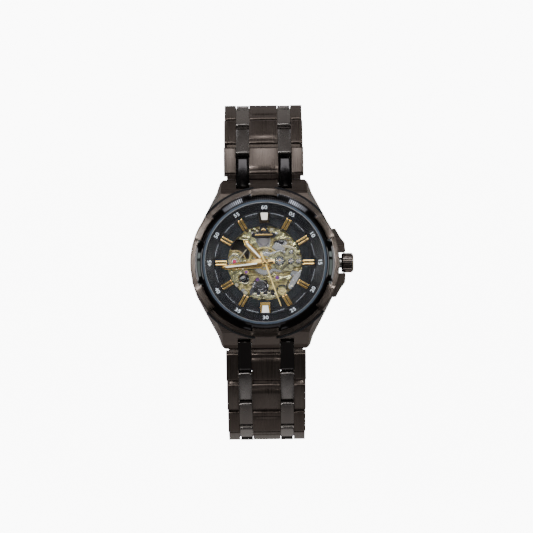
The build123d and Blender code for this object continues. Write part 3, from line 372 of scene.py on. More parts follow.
def glass_material(name, tint, rim=None, rough=0.008, ior=1.16):
    """Coated sapphire: clear, with a bluish band painted on the polished bevel where rim is given, a painted
    reflection.
    """
    M = Mat(name)
    M.val("IOR", ior)
    a = M.noise(M.coords((1, 1, 1)), 200.0, 3.0, 0.5)
    if rim:
        r = radius_of(M)
        # painted reflection: a bluish, mostly opaque band at the bevel radius stands in for the bevel's reflection
        k = M.rng(r, rim - 0.00008, rim + 0.00008, 0.0, 1.0)
        M.set("Base Color", M.mixc(k, tint, (0.065, 0.085, 0.115)))
        M.set("Transmission Weight", M.rng(k, 0, 1, 1.0, 0.12))
        M.set("Roughness", M.mixf(k, M.rng(a, 0.3, 0.8, rough, rough + 0.01), 0.16))
    else:
        M.val("Base Color", (*tint, 1))
        M.val("Transmission Weight", 1.0)
        M.set("Roughness", M.rng(a, 0.3, 0.8, rough, rough + 0.012))
    lp = M.new("ShaderNodeLightPath")
    tr = M.new("ShaderNodeBsdfTransparent")
    tr.inputs[0].default_value = (*tint, 1)
    mx = M.new("ShaderNodeMixShader")
    M.link(lp.outputs["Is Shadow Ray"], mx.inputs[0])
    M.link(M.p.outputs[0], mx.inputs[1])
    M.link(tr.outputs[0], mx.inputs[2])
    M.link(mx.outputs[0], M.out.inputs["Surface"])
    return M


m_back_glass = glass_material("back_glass", (0.97, 0.985, 1.0))
m_glass = glass_material("crystal_glass", (0.985, 0.99, 1.0), rim=0.01680)
m_bezel = bezel_material()
m_crown = polished("crown_metal", (0.15, 0.13, 0.12), (0.24, 0.21, 0.20), (0.12, 0.24), 0.1)

# painted highlight and shade: the knurl's rib tops (2.52-2.74 mm from the crown axis) and the crown's end face are
# coloured light, the grooves and the rest near-black
m_knurl = Mat("crown_knurl")
m_knurl.val("Metallic", 1.0)
_x, _y, _z = m_knurl.xyz()
_zz = m_knurl.math("SUBTRACT", _z, 4.2 * MM)
_r = m_knurl.math("POWER", m_knurl.math("ADD", m_knurl.math("MULTIPLY", _y, _y), m_knurl.math("MULTIPLY", _zz, _zz)), 0.5)
_rib_highlight = m_knurl.rng(_r, 2.52 * MM, 2.74 * MM, 0.0, 1.0)
_rib_highlight = m_knurl.math("MAXIMUM", _rib_highlight, m_knurl.rng(_x, 24.5 * MM, 24.6 * MM, 0.0, 1.0))
m_knurl.set("Base Color", m_knurl.mixc(_rib_highlight, (0.004, 0.0035, 0.0035), (0.28, 0.24, 0.225)))
m_knurl.set("Roughness", m_knurl.rng(m_knurl.noise(m_knurl.coords((1, 1, 1)), 900.0, 2.0, 0.5), 0.3, 0.7, 0.14, 0.26))

ASSIGN = {
    "mid_case": m_case, "case_back": m_case, "clasp_cover": m_case, "clasp_blade_inner": m_case,
    "clasp_blade_outer": m_case, "bezel": m_bezel, "crown": m_knurl, "button_left": m_crown,
    "button_right": m_crown, "lug_pins": m_steel, "crown_tube": m_steel, "winding_stem": m_steel,
    "crystal": m_glass, "back_crystal": m_back_glass, "crystal_gasket": m_gasket, "crown_gasket": m_gasket,
    "chapter_ring": m_black, "dial_ring": m_slate, "hour_markers": m_marker, "hour_hand": m_gold,
    "minute_hand": m_gold, "second_hand": m_second, "marker_lume": m_lume, "movement_holder": m_holder,
    "main_plate": m_plate_shade, "train_bridge": m_grey, "balance_cock": m_shade, "motion_bridge": m_bridge,
    "barrel": m_wheel, "centre_wheel": m_wheel, "third_wheel": m_wheel, "fourth_wheel": m_wheel,
    "hour_wheel": m_bright, "balance_wheel": m_wheel, "rotor": m_rotor, "movement_screws": m_bright,
    "ratchet_wheel": m_bright, "crown_wheel": m_bright, "minute_wheel": m_bright, "setting_wheel": m_bright,
    "escape_wheel": m_bright, "pallet_fork": m_bright, "winding_pinion": m_bright, "hairspring": m_blue,
    "jewels": m_ruby,
}
UPPER = [12.3, 32.7, 56.4, 89.4, 121.8, 146.0, 162.7, 175.2]
LOWER = [26.4, 33.0, 50.9, 76.2, 109.2, 142.3, 175.0]
for i, a in enumerate(UPPER):
    ASSIGN["upper_link_%d" % (i + 1)] = link_material(i, a, 1)
for i, a in enumerate(LOWER):
    ASSIGN["lower_link_%d" % (i + 1)] = link_material(i, a, -1)

BEVEL = {"mid_case": 0.2, "bezel": 0.07, "case_back": 0.08, "clasp_cover": 0.12, "clasp_blade_inner": 0.06,
         "clasp_blade_outer": 0.06, "crown": 0.05, "hour_markers": 0.04, "motion_bridge": 0.05, "main_plate": 0.06,
         "movement_screws": 0.04, "dial_ring": 0.03, "train_bridge": 0.04, "balance_cock": 0.04, "button_left": 0.08,
         "button_right": 0.08, "marker_lume": 0.03, "rotor": 0.05, "jewels": 0.03}
for name, ob in N.items():
    me = ob.data
    mat = ASSIGN[name].m
    me.materials.clear()
    me.materials.append(mat)
    w = BEVEL.get(name, 0.09 if "link" in name else 0.0)
    if w:
        wl = ob.modifiers.new("weld", "WELD")
        wl.merge_threshold = 2e-6
        bv = ob.modifiers.new("bevel", "BEVEL")
        bv.width = w * MM
        bv.segments = 2
        bv.limit_method = "ANGLE"
        bv.angle_limit = radians(32)
        bv.use_clamp_overlap = True
        bv.harden_normals = False
        bv.miter_outer = "MITER_ARC"

# --------------------------------------------------------------- geometry tools
def obj_from_bm(name, bm, mat, body, smooth=35.0):
    me = bpy.data.meshes.new(name)
    bm.normal_update()
    bm.to_mesh(me)
    bm.free()
    ob = bpy.data.objects.new(name, me)
    bpy.context.scene.collection.objects.link(ob)
    me.materials.append(mat.m)
    for p in me.polygons:
        p.use_smooth = True
    me.set_sharp_from_angle(angle=radians(smooth))
    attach(ob, body)
    return ob


def prism(bm, pts, z0, z1, bevel=0.0):
    """A closed prism over a plan outline in mm."""
    vs0 = [bm.verts.new((x * MM, y * MM, z0 * MM)) for x, y in pts]
    vs1 = [bm.verts.new((x * MM, y * MM, z1 * MM)) for x, y in pts]
    n = len(pts)
    area = sum(pts[i][0] * pts[(i + 1) % n][1] - pts[(i + 1) % n][0] * pts[i][1] for i in range(n))
    if area < 0:
        vs0.reverse()
        vs1.reverse()
    bot = bm.faces.new(list(reversed(vs0)))
    top = bm.faces.new(vs1)
    for i in range(n):
        bm.faces.new((vs0[i], vs0[(i + 1) % n], vs1[(i + 1) % n], vs1[i]))
    if bevel:
        ed = [e for e in top.edges]
        bmesh.ops.bevel(bm, geom=ed, offset=bevel * MM, segments=2, affect="EDGES", clamp_overlap=True)


def arc_band(bm, r0, r1, a0, a1, z0, z1, n=16):
    """Closed band between two radii and two clock angles."""
    pts = [(r1 * sin(radians(a0 + (a1 - a0) * k / n)), r1 * cos(radians(a0 + (a1 - a0) * k / n))) for k in range(n + 1)]
    pts += [(r0 * sin(radians(a1 - (a1 - a0) * k / n)), r0 * cos(radians(a1 - (a1 - a0) * k / n))) for k in range(n + 1)]
    prism(bm, pts, z0, z1)


def lathe(bm, cx, cy, prof, n=48):
    """Closed surface of revolution about a vertical line; prof is (r, z) from axis to axis."""
    rings = []
    for r, z in prof:
        if r < 1e-6:
            rings.append([bm.verts.new((cx * MM, cy * MM, z * MM))])
        else:
            rings.append([bm.verts.new(((cx + r * cos(2 * pi * k / n)) * MM, (cy + r * sin(2 * pi * k / n)) * MM, z * MM))
                          for k in range(n)])
    for a, b in zip(rings, rings[1:]):
        for k in range(n):
            k2 = (k + 1) % n
            if len(a) == 1 and len(b) == 1:
                continue
            if len(a) == 1:
                bm.faces.new((a[0], b[k], b[k2]))
            elif len(b) == 1:
                bm.faces.new((a[k], b[0], a[k2]))
            else:
                bm.faces.new((a[k], b[k], b[k2], a[k2]))


def closed_lathe(bm, cx, cy, prof, n=48):
    """Surface of revolution of a closed profile that doesn't touch the axis."""
    rings = [[bm.verts.new(((cx + r * cos(2 * pi * k / n)) * MM, (cy + r * sin(2 * pi * k / n)) * MM, z * MM))
              for k in range(n)] for r, z in prof]
    for i in range(len(rings)):
        a, b = rings[i], rings[(i + 1) % len(rings)]
        for k in range(n):
            k2 = (k + 1) % n
            bm.faces.new((a[k], b[k], b[k2], a[k2]))


def fix(bm):
    bmesh.ops.recalc_face_normals(bm, faces=bm.faces)


def text_mesh(name, body, size, mat, matrix, owner, depth=0.02):
    """Generic dial numerals as a closed mesh."""
    cu = bpy.data.curves.new(name + "_c", "FONT")
    cu.body = body
    cu.size = size * MM
    cu.align_x = "CENTER"
    cu.align_y = "CENTER"
    cu.extrude = depth * MM
    cu.offset = 0.0
    cu.resolution_u = 4
    tmp = bpy.data.objects.new(name + "_t", cu)
    bpy.context.scene.collection.objects.link(tmp)
    bpy.context.view_layer.update()
    me = bpy.data.meshes.new_from_object(tmp.evaluated_get(bpy.context.evaluated_depsgraph_get()))
    bpy.data.objects.remove(tmp)
    me.transform(matrix)
    ob = bpy.data.objects.new(name, me)
    bpy.context.scene.collection.objects.link(ob)
    me.materials.clear()
    me.materials.append(mat.m)
    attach(ob, owner)
    return ob


# --------------------------------------------------------------- dial printing
SL = atan2(9.65 - 8.1, 16.6 - 14.45)
for k in range(12):
    num = "60" if k == 0 else "%02d" % (k * 5)
    ang = k * 30.0
    r = 15.5
    zz = 8.1 + (r - 14.45) * math.tan(SL) + 0.02
    a = radians(ang)
    inward = k in (4, 5, 6, 7, 8)
    # local frame: tangent, radial up the slope, normal
    rad = Vector((sin(a), cos(a), 0))
    tan = Vector((cos(a), -sin(a), 0))
    up = (rad * cos(SL) + Vector((0, 0, 1)) * sin(SL))
    nor = tan.cross(up)
    if nor.z < 0:
        nor = -nor
    xd, yd = (tan, up) if not inward else (-tan, -up)
    M4 = Matrix(((xd.x, yd.x, nor.x, sin(a) * r * MM), (xd.y, yd.y, nor.y, cos(a) * r * MM),
                 (xd.z, yd.z, nor.z, zz * MM), (0, 0, 0, 1)))
    text_mesh("minute_numeral_%s" % num, num, 1.78, m_ink, M4, "case")

bm = bmesh.new()
for k in range(12):
    c = k * 30.0 + 15.0
    arc_band(bm, 14.06, 14.12, c - 7.6, c + 7.6, 7.9, 7.925, 14)
    for j in (-6, -3, 0, 3, 6):
        ln = 0.3 if j == 0 else 0.2
        arc_band(bm, 14.06 - ln, 14.07, c + j - 0.12, c + j + 0.12, 7.9, 7.925, 1)
fix(bm)
obj_from_bm("minute_track", bm, m_track, "case")

# --------------------------------------------------------------- hands' lume
def strip(name, ang, r0, r1, w0, w1, z, body):
    a = radians(90 - ang)
    pts = [(r0, w0 / 2), (r0 + 0.2, w0 / 2 + 0.03), (r1 - 0.5, w1 / 2), (r1, 0.02), (r1, -0.02), (r1 - 0.5, -w1 / 2),
           (r0 + 0.2, -w0 / 2 - 0.03), (r0, -w0 / 2)]
    c, s = cos(a), sin(a)
    b = bmesh.new()
    prism(b, [(u * c - v * s, u * s + v * c) for u, v in pts], z - 0.03, z + 0.03, 0.02)
    fix(b)
    return obj_from_bm(name, b, m_lume, body)


strip("hour_hand_lume", 317.5, 1.9, 7.6, 0.40, 0.52, 8.55, "hour_body")
strip("minute_hand_lume", 263.8, 2.2, 11.2, 0.36, 0.40, 8.94, "centre_body")
def facets(name, ang, secs, z, rise, body, mat=None):
    """Roof-like facets along a hand; secs are (radius, outer half width, inner half width)."""
    a = radians(90 - ang)
    c, sn = cos(a), sin(a)
    b = bmesh.new()
    for sgn in (1, -1):
        rows = []
        for u, wo, wi in secs:
            rows.append([b.verts.new(((u * c - sgn * w * sn) * MM, (u * sn + sgn * w * c) * MM, zz * MM))
                         for w, zz in ((wo, z), (wi, z + rise), (wi, z))])
        for p, q in zip(rows, rows[1:]):
            for j in range(3):
                b.faces.new((p[j], p[(j + 1) % 3], q[(j + 1) % 3], q[j]))
        b.faces.new(rows[0])
        b.faces.new(rows[-1][::-1])
    fix(b)
    return obj_from_bm(name, b, mat or m_gold, body, 12.0)


facets("hour_hand_facets", 317.5, [(1.2, 1.0, 0.22), (1.5, 1.05, 0.24), (7.45, 0.68, 0.28), (7.7, 0.6, 0.05),
                                   (8.5, 0.14, 0.03)], 8.45, 0.13, "hour_body")
facets("hour_tail_facets", 137.5, [(1.15, 0.62, 0.03), (2.4, 0.4, 0.02)], 8.45, 0.1, "hour_body")
facets("minute_hand_facets", 263.8, [(0.9, 1.05, 0.18), (1.85, 1.24, 0.2), (11.1, 0.57, 0.22), (11.35, 0.5, 0.05),
                                     (12.2, 0.12, 0.03)], 8.83, 0.13, "centre_body")
facets("minute_tail_facets", 83.8, [(0.9, 0.75, 0.03), (2.55, 0.5, 0.02)], 8.83, 0.13, "centre_body")
facets("second_hand_facets", 160.3, [(0.75, 0.18, 0.02), (12.9, 0.10, 0.012)], 9.19, 0.06, "seconds_body", m_second)
facets("second_tail_facets", 340.3, [(0.75, 0.2, 0.02), (2.95, 0.25, 0.02)], 9.19, 0.08, "seconds_body", m_second)

bm = bmesh.new()
for h in range(12):
    a = radians(90 - h * 30.0)
    c, sn = cos(a), sin(a)
    if h in (0, 6):
        continue
    for off in (-0.45, 0.45):
        rows = []
        for u, w, zt in ((10.75, 0.27, 8.2), (10.9, 0.27, 8.27), (13.8, 0.27, 8.27), (13.95, 0.27, 8.2)):
            rows.append([bm.verts.new(((u * c - (off + v) * sn) * MM, (u * sn + (off + v) * c) * MM, zz * MM))
                         for v, zz in ((-w, 8.17), (w, 8.17), (0.0, zt))])
        for p, q in zip(rows, rows[1:]):
            for j in range(3):
                bm.faces.new((p[j], p[(j + 1) % 3], q[(j + 1) % 3], q[j]))
        bm.faces.new(rows[0])
        bm.faces.new(rows[-1][::-1])
fix(bm)
obj_from_bm("marker_ridges", bm, m_gold, "case", 12.0)
for nm, sg in (("12", 1), ("06", -1)):
    bm = bmesh.new()
    prism(bm, [(-0.98, sg * 14.02), (0.98, sg * 14.02), (0.8, sg * 12.05), (-0.8, sg * 12.05)], 8.0, 8.3, 0.05)
    for x in (-0.42, 0.0, 0.42):
        prism(bm, [(x * 1.1 - 0.05, sg * 13.9), (x * 1.1 + 0.05, sg * 13.9), (x * 0.95 + 0.05, sg * 12.2),
                   (x * 0.95 - 0.05, sg * 12.2)], 8.29, 8.33)
    fix(bm)
    obj_from_bm("marker_block_" + nm, bm, m_lume, "case")
# painted shade: black bands on the case just outside the bezel near the lugs, standing in for the shadow in the seam
bm = bmesh.new()
for c in (29, 151, 209, 331):
    arc_band(bm, 20.9, 21.6, c - 21, c + 21, 8.0, 8.52, 24)
fix(bm)
obj_from_bm("bezel_shadow_band", bm, m_black, "case")
bm = bmesh.new()
lathe(bm, 0, 0, [(0, 9.42), (0.3, 9.42), (0.5, 9.36), (0.62, 9.24), (0.66, 9.19), (0.2, 9.19), (0, 9.19)], 32)
fix(bm)
obj_from_bm("second_hand_cap", bm, m_gold, "seconds_body")

# --------------------------------------------------------------- movement detail
def smooth_loop(pts, n=6):
    """Closed Catmull-Rom loop through the given points."""
    out = []
    m = len(pts)
    for i in range(m):
        p0, p1, p2, p3 = pts[i - 1], pts[i], pts[(i + 1) % m], pts[(i + 2) % m]
        for k in range(n):
            t = k / n
            out.append(tuple(0.5 * (2 * p1[j] + (p2[j] - p0[j]) * t + (2 * p0[j] - 5 * p1[j] + 4 * p2[j] - p3[j]) * t * t
                                    + (3 * p1[j] - p0[j] - 3 * p2[j] + p3[j]) * t ** 3) for j in (0, 1)))
    return out


def ring_pts(cx, cy, rx, ry=None, n=32, turn=0.0):
    ry = ry or rx
    out = []
    for k in range(n):
        u, v = rx * cos(2 * pi * k / n), ry * sin(2 * pi * k / n)
        out.append((cx + u * cos(turn) - v * sin(turn), cy + u * sin(turn) + v * cos(turn)))
    return out


def gear_pts(cx, cy, r, n, depth, turn=0.0):
    out = []
    for k in range(n):
        for f, rr in ((-0.36, r - depth), (-0.2, r), (0.2, r), (0.36, r - depth)):
            a = 2 * pi * (k + f) / n + turn
            out.append((cx + rr * cos(a), cy + rr * sin(a)))
    return out


def cut_plate(name, outer, holes, z0, z1, mat, body="case", bevel=0.09, rim=None):
    """A plate with holes and a polished bevel round every upper and lower edge."""
    cu = bpy.data.curves.new(name + "_c", "CURVE")
    cu.dimensions = "2D"
    cu.fill_mode = "BOTH"
    for loop in [outer] + list(holes):
        sp = cu.splines.new("POLY")
        sp.points.add(len(loop) - 1)
        for p, (x, y) in zip(sp.points, loop):
            p.co = (x * MM, y * MM, 0, 1)
        sp.use_cyclic_u = True
    cu.extrude = max((z1 - z0) / 2 - bevel, 0.004) * MM
    cu.bevel_depth = bevel * MM
    cu.bevel_resolution = 1
    cu.offset = -bevel * MM
    tmp = bpy.data.objects.new(name + "_t", cu)
    bpy.context.scene.collection.objects.link(tmp)
    bpy.context.view_layer.update()
    me = bpy.data.meshes.new_from_object(tmp.evaluated_get(bpy.context.evaluated_depsgraph_get()))
    bpy.data.objects.remove(tmp)
    b = bmesh.new()
    b.from_mesh(me)
    bmesh.ops.remove_doubles(b, verts=b.verts, dist=2e-7)
    bmesh.ops.dissolve_degenerate(b, edges=b.edges, dist=1e-8)
    fix(b)
    b.normal_update()
    for f in b.faces:
        f.material_index = 1 if (rim is not None and abs(f.normal.z) < 0.97) else 0
        f.smooth = False
    for v in b.verts:
        v.co.z += (z0 + z1) / 2 * MM
    me2 = bpy.data.meshes.new(name)
    b.to_mesh(me2)
    b.free()
    ob = bpy.data.objects.new(name, me2)
    bpy.context.scene.collection.objects.link(ob)
    me2.materials.append(mat.m)
    if rim is not None:
        me2.materials.append(rim.m)
    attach(ob, body)
    return ob


def turned(name, cx, cy, prof, mat, body="case", n=40):
    b = bmesh.new()
    lathe(b, cx, cy, prof, n)
    fix(b)
    return obj_from_bm(name, b, mat, body, 30.0)


def torus_band(name, cx, cy, r, w, z0, z1, mat, body="case", n=48):
    b = bmesh.new()
    c = min(w, z1 - z0) * 0.3
    closed_lathe(b, cx, cy, [(r - w / 2, z0), (r + w / 2, z0), (r + w / 2, z1 - c), (r + w / 2 - c, z1),
                             (r - w / 2 + c, z1), (r - w / 2, z1 - c)], n)
    fix(b)
    return obj_from_bm(name, b, mat, body, 25.0)


def screw(name, cx, cy, r, z0, z1, mat, ang=0.6):
    """A slotted screw head with a chamfered rim."""
    b = bmesh.new()
    n = 28
    w = r * 0.17
    pts = []
    lathe(b, cx, cy, [(0, z0), (r, z0), (r, z1 - 0.3 * r), (r * 0.82, z1 - 0.06), (0, z1 - 0.06)], n)
    for s in (1, -1):
        seg = []
        a0 = math.asin(w / (r * 0.8))
        for k in range(9):
            t = a0 + (pi - 2 * a0) * k / 8
            u, v = r * 0.8 * cos(t), s * r * 0.8 * sin(t)
            seg.append((cx + u * cos(ang) - v * sin(ang), cy + u * sin(ang) + v * cos(ang)))
        prism(b, seg, z1 - 0.07, z1)
    fix(b)
    return obj_from_bm(name, b, mat, "case", 30.0)


# lower bridge with its wavy polished edge, jewel holes and the oval window
LB = smooth_loop([(-9.9, -1.4), (-8.0, -1.55), (-6.4, -1.5), (-4.6, -2.0), (-3.3, -2.5), (-2.3, -2.6), (-1.6, -3.1),
                  (-0.4, -3.75), (0.9, -3.85), (1.9, -3.2), (2.8, -3.1), (3.9, -3.75), (5.4, -3.95), (7.0, -3.6),
                  (7.3, -4.1), (6.5, -5.2), (5.9, -6.4), (5.9, -7.1), (4.7, -6.6), (3.4, -7.3), (2.7, -8.5),
                  (1.4, -8.1), (0.9, -6.3), (0.2, -4.9), (-1.2, -4.2), (-2.0, -5.6), (-3.3, -6.1), (-4.2, -7.4),
                  (-5.0, -8.9), (-6.3, -8.2), (-7.7, -7.0), (-9.0, -5.2), (-9.9, -3.2)], 5)
cut_plate("lower_bridge", LB, [ring_pts(-5.85, -4.3, 1.8, 1.2, 32, -0.25), ring_pts(-2.15, -4.7, 0.62, n=24),
                               ring_pts(-5.25, -2.5, 0.55, n=24), ring_pts(3.4, -4.15, 0.66, n=24)],
          6.2, 6.72, m_plate, rim=m_rim, bevel=0.1)
for nm, jx, jy, jr, jm in (("a", -5.25, -2.5, 0.42, m_ruby), ("b", -2.15, -4.7, 0.44, m_ruby),
                           ("c", 3.4, -4.15, 0.5, m_ruby)):
    turned("jewel_" + nm, jx, jy, [(0, 6.6), (jr, 6.6), (jr, 6.74), (jr * 0.82, 6.82), (jr * 0.45, 6.82), (jr * 0.2, 6.76),
                                   (0, 6.76)], jm, n=28)
    torus_band("jewel_seat_" + nm, jx, jy, jr + 0.1, 0.16, 6.6, 6.8, m_dark if nm == "b" else m_yellow, n=28)
turned("oval_window_dome", -5.85, -4.35, [(0, 6.22), (1.1, 6.22), (1.05, 6.28), (0.8, 6.36), (0.4, 6.4), (0, 6.41)],
       m_dark)
torus_band("oval_window_ring", -6.1, -4.2, 0.62, 0.12, 6.36, 6.46, m_bright, n=28)
cut_plate("oval_window_arm", smooth_loop([(-7.1, -4.2), (-6.3, -3.55), (-5.6, -3.8), (-5.9, -4.3), (-6.6, -4.4)], 4), [],
          6.42, 6.52, m_bright, bevel=0.03)

# dark polished cover over the escape wheel, with turned rings
turned("escape_cover", -1.35, -6.5, [(0, 6.42), (0, 6.5), (0.5, 6.52), (0.56, 6.46), (0.66, 6.46), (0.74, 6.52),
                                     (1.3, 6.5), (1.36, 6.44), (1.46, 6.44), (1.55, 6.49), (2.1, 6.42), (2.32, 6.3),
                                     (2.36, 6.22), (0, 6.22)][1:], m_smoke, n=64)
cut_plate("escape_cover_tail", smooth_loop([(-3.4, -6.7), (-2.3, -7.6), (-1.5, -8.8), (-2.4, -9.6), (-3.9, -9.3),
                                            (-4.4, -8.2), (-4.0, -7.2)], 5), [], 6.2, 6.34, m_smoke,
          bevel=0.06)
# painted highlights: three bright steel arcs raised on the cover stand in for glints on its polish
for k, (r0, a0, a1) in enumerate(((1.9, 120, 172), (1.7, 20, 60), (1.05, 140, 215))):
    b = bmesh.new()
    pts = [(-1.35 + (r0 + 0.07) * sin(radians(a0 + (a1 - a0) * j / 10)),
            -6.5 + (r0 + 0.07) * cos(radians(a0 + (a1 - a0) * j / 10))) for j in range(11)]
    pts += [(-1.35 + (r0 - 0.07) * sin(radians(a1 - (a1 - a0) * j / 10)),
             -6.5 + (r0 - 0.07) * cos(radians(a1 - (a1 - a0) * j / 10))) for j in range(11)]
    prism(b, pts, 6.4, 6.58, 0.03)
    fix(b)
    obj_from_bm("escape_cover_glint_%d" % k, b, m_bright, "case")

# balance setting: engraved plate, rings and its jewel
BS = smooth_loop([(-10.4, 0.1), (-10.3, 1.5), (-9.4, 2.5), (-8.2, 2.75), (-7.0, 2.2), (-6.1, 1.1), (-4.9, 0.5),
                  (-4.3, 0.1), (-5.2, -0.35), (-6.6, -0.7), (-7.6, -1.3), (-8.9, -1.45), (-10.0, -0.9)], 6)
cut_plate("balance_setting", BS, [], 6.2, 6.7, m_bridge, rim=m_rim, bevel=0.1)
torus_band("balance_index_ring", -8.55, 0.6, 1.72, 0.26, 6.66, 6.96, m_bright)
torus_band("balance_stud_ring", -8.55, 0.55, 1.2, 0.2, 6.66, 7.06, m_yellow)
turned("balance_cap", -8.55, 0.5, [(0, 6.6), (0.86, 6.6), (0.86, 6.84), (0.74, 6.94), (0.6, 6.96), (0.5, 6.84),
                                   (0, 6.84)], m_bright)
turned("balance_jewel", -8.55, 0.5, [(0, 6.8), (0.46, 6.8), (0.46, 6.96), (0.34, 7.06), (0.14, 7.08), (0, 7.03)],
       m_pink, n=28)
cut_plate("index_pointer", [(-7.05, 1.72), (-6.78, 1.48), (-5.0, 3.75), (-5.28, 4.0)], [], 6.7, 6.92, m_rim, bevel=0.05)
cut_plate("index_frame", smooth_loop([(-4.5, 0.4), (-4.35, 1.7), (-3.7, 2.75), (-3.0, 2.9), (-2.6, 2.2), (-2.9, 0.7)], 4),
          [smooth_loop([(-3.9, 0.9), (-3.75, 1.7), (-3.35, 1.95), (-3.1, 1.5), (-3.25, 0.8)], 4)], 6.3, 6.6, m_yellow,
          bevel=0.07)
# ring round the centre, the calendar-side plates at the top and the click spring
b = bmesh.new()
arc_band(b, 4.12, 4.6, -86, 46, 6.66, 6.8, 40)
fix(b)
obj_from_bm("centre_ring", b, m_yellow, "case")
b = bmesh.new()
arc_band(b, 4.2, 4.52, -84, -8, 6.2, 6.67, 24)
fix(b)
obj_from_bm("centre_ring_wall", b, m_plate, "case")
cut_plate("dark_sector", smooth_loop([(-2.3, 7.2), (-0.4, 7.5), (1.5, 7.2), (1.3, 6.1), (0.5, 5.2), (-0.3, 4.85),
                                      (-1.2, 5.4), (-1.9, 6.3)], 5), [], 6.2, 6.5, m_grey, bevel=0.05)
cut_plate("north_bridge", smooth_loop([(-7.4, 6.9), (-6.6, 7.6), (-5.0, 8.5), (-4.2, 9.6), (-2.6, 9.9), (-2.2, 8.9),
                                       (-2.7, 7.6), (-2.5, 6.4), (-1.8, 5.2), (-1.5, 4.4), (-2.6, 4.0), (-3.6, 4.9),
                                       (-4.3, 5.8), (-5.4, 6.3)], 6),
          [smooth_loop([(-6.5, 7.0), (-5.4, 7.25), (-4.6, 6.95), (-5.5, 6.75)], 4), ring_pts(-3.4, 8.6, 0.34, n=20)],
          6.2, 6.8, m_plate, rim=m_rim, bevel=0.1)
cut_plate("east_bridge", smooth_loop([(1.6, 7.7), (2.6, 9.7), (4.2, 9.3), (5.6, 8.5), (7.4, 7.2), (8.9, 5.4), (9.9, 3.2),
                                      (9.5, 2.3), (8.6, 3.0), (7.9, 4.4), (6.9, 5.5), (6.1, 6.3), (4.9, 6.6),
                                      (3.7, 6.5), (2.6, 6.9)], 6),
          [smooth_loop([(5.9, 6.9), (6.9, 6.6), (7.5, 5.9), (6.6, 6.1)], 4), ring_pts(8.5, 4.6, 0.36, n=20)],
          6.2, 6.8, m_plate, rim=m_rim, bevel=0.1)
cut_plate("ratchet_click", smooth_loop([(2.5, 5.9), (3.4, 6.3), (4.6, 6.0), (5.5, 6.1), (5.0, 5.4), (4.0, 5.1),
                                        (3.2, 5.0)], 5), [], 6.46, 6.62, m_dark, bevel=0.04)
cut_plate("ratchet_cover", smooth_loop([(2.2, 4.4), (2.7, 5.3), (3.5, 5.6), (4.6, 5.2), (5.5, 4.6), (5.7, 3.8),
                                        (4.9, 3.45), (4.1, 3.7), (3.1, 3.7)], 5), [], 6.9, 7.06, m_bright,
          bevel=0.05)
turned("top_post", 3.4, 8.25, [(0, 6.4), (0.42, 6.4), (0.42, 7.5), (0.34, 7.62), (0.2, 7.66), (0, 7.66)], m_bright)
cut_plate("post_collar", ring_pts(3.4, 7.7, 0.95, 0.6, 30), [ring_pts(3.4, 8.0, 0.45, n=20)][:0], 6.44, 6.66, m_rim,
          bevel=0.08)
for s, pts in (("left", [(-4.2, 9.35), (-3.1, 8.75), (-1.6, 8.7), (-1.9, 9.3), (-3.2, 9.55), (-3.9, 9.95)]),
               ("right", [(1.3, 8.9), (2.9, 9.2), (3.2, 9.7), (1.7, 9.95), (1.5, 9.5)])):
    cut_plate("top_bracket_" + s, pts, [], 6.5, 6.8, m_rim, bevel=0.08)

# plain applied plaque below twelve: one plain bar and one domed stud
cut_plate("plaque_bar", [(-3.1, 7.42), (2.55, 7.42), (2.55, 8.32), (-3.1, 8.32)], [], 7.34, 7.44, m_dark,
          bevel=0.03)
cut_plate("plaque_band", [(-2.75, 7.62), (2.2, 7.62), (2.2, 8.12), (-2.75, 8.12)], [], 7.43, 7.58, m_gold,
          bevel=0.12)
turned("plaque_stud", -0.27, 9.4, [(0, 7.34), (0.5, 7.34), (0.5, 7.46), (0.34, 7.58), (0.12, 7.64), (0, 7.65)],
       m_gold, n=32)
cut_plate("plaque_carrier", smooth_loop([(-3.2, 7.2), (2.7, 7.2), (2.8, 8.45), (1.2, 8.7), (0.7, 10.1), (0.3, 10.4),
                                         (-0.9, 10.4), (-1.3, 10.1), (-1.7, 8.7), (-3.3, 8.45)], 3), [],
          7.14, 7.35, m_dark, bevel=0.04)

# wheels seen through and over the three o'clock bridge
def star_wheel(name, cx, cy, r, n, z, body, teeth=0):
    outer = gear_pts(cx, cy, r, teeth, 0.16) if teeth else ring_pts(cx, cy, r, n=48)
    cut_plate(name + "_disc", outer, [], z, z + 0.1, m_dark, body=body, bevel=0.03, rim=m_smoke)
    petals = []
    for k in range(n):
        for f, rr in ((-0.24, 0.80), (-0.08, 0.90), (0.08, 0.90), (0.24, 0.80), (0.42, 0.40), (0.58, 0.40)):
            t = 2 * pi * (k + f) / n
            petals.append((cx + r * rr * cos(t), cy + r * rr * sin(t)))
    cut_plate(name + "_star", petals, [], z + 0.09, z + 0.19, m_bright, body=body, bevel=0.05,
              rim=m_rim)
    turned(name + "_hub", cx, cy, [(0, z + 0.05), (r * 0.2, z + 0.05), (r * 0.2, z + 0.2), (r * 0.13, z + 0.25),
                                   (0, z + 0.25)], m_gold, body=body, n=20)


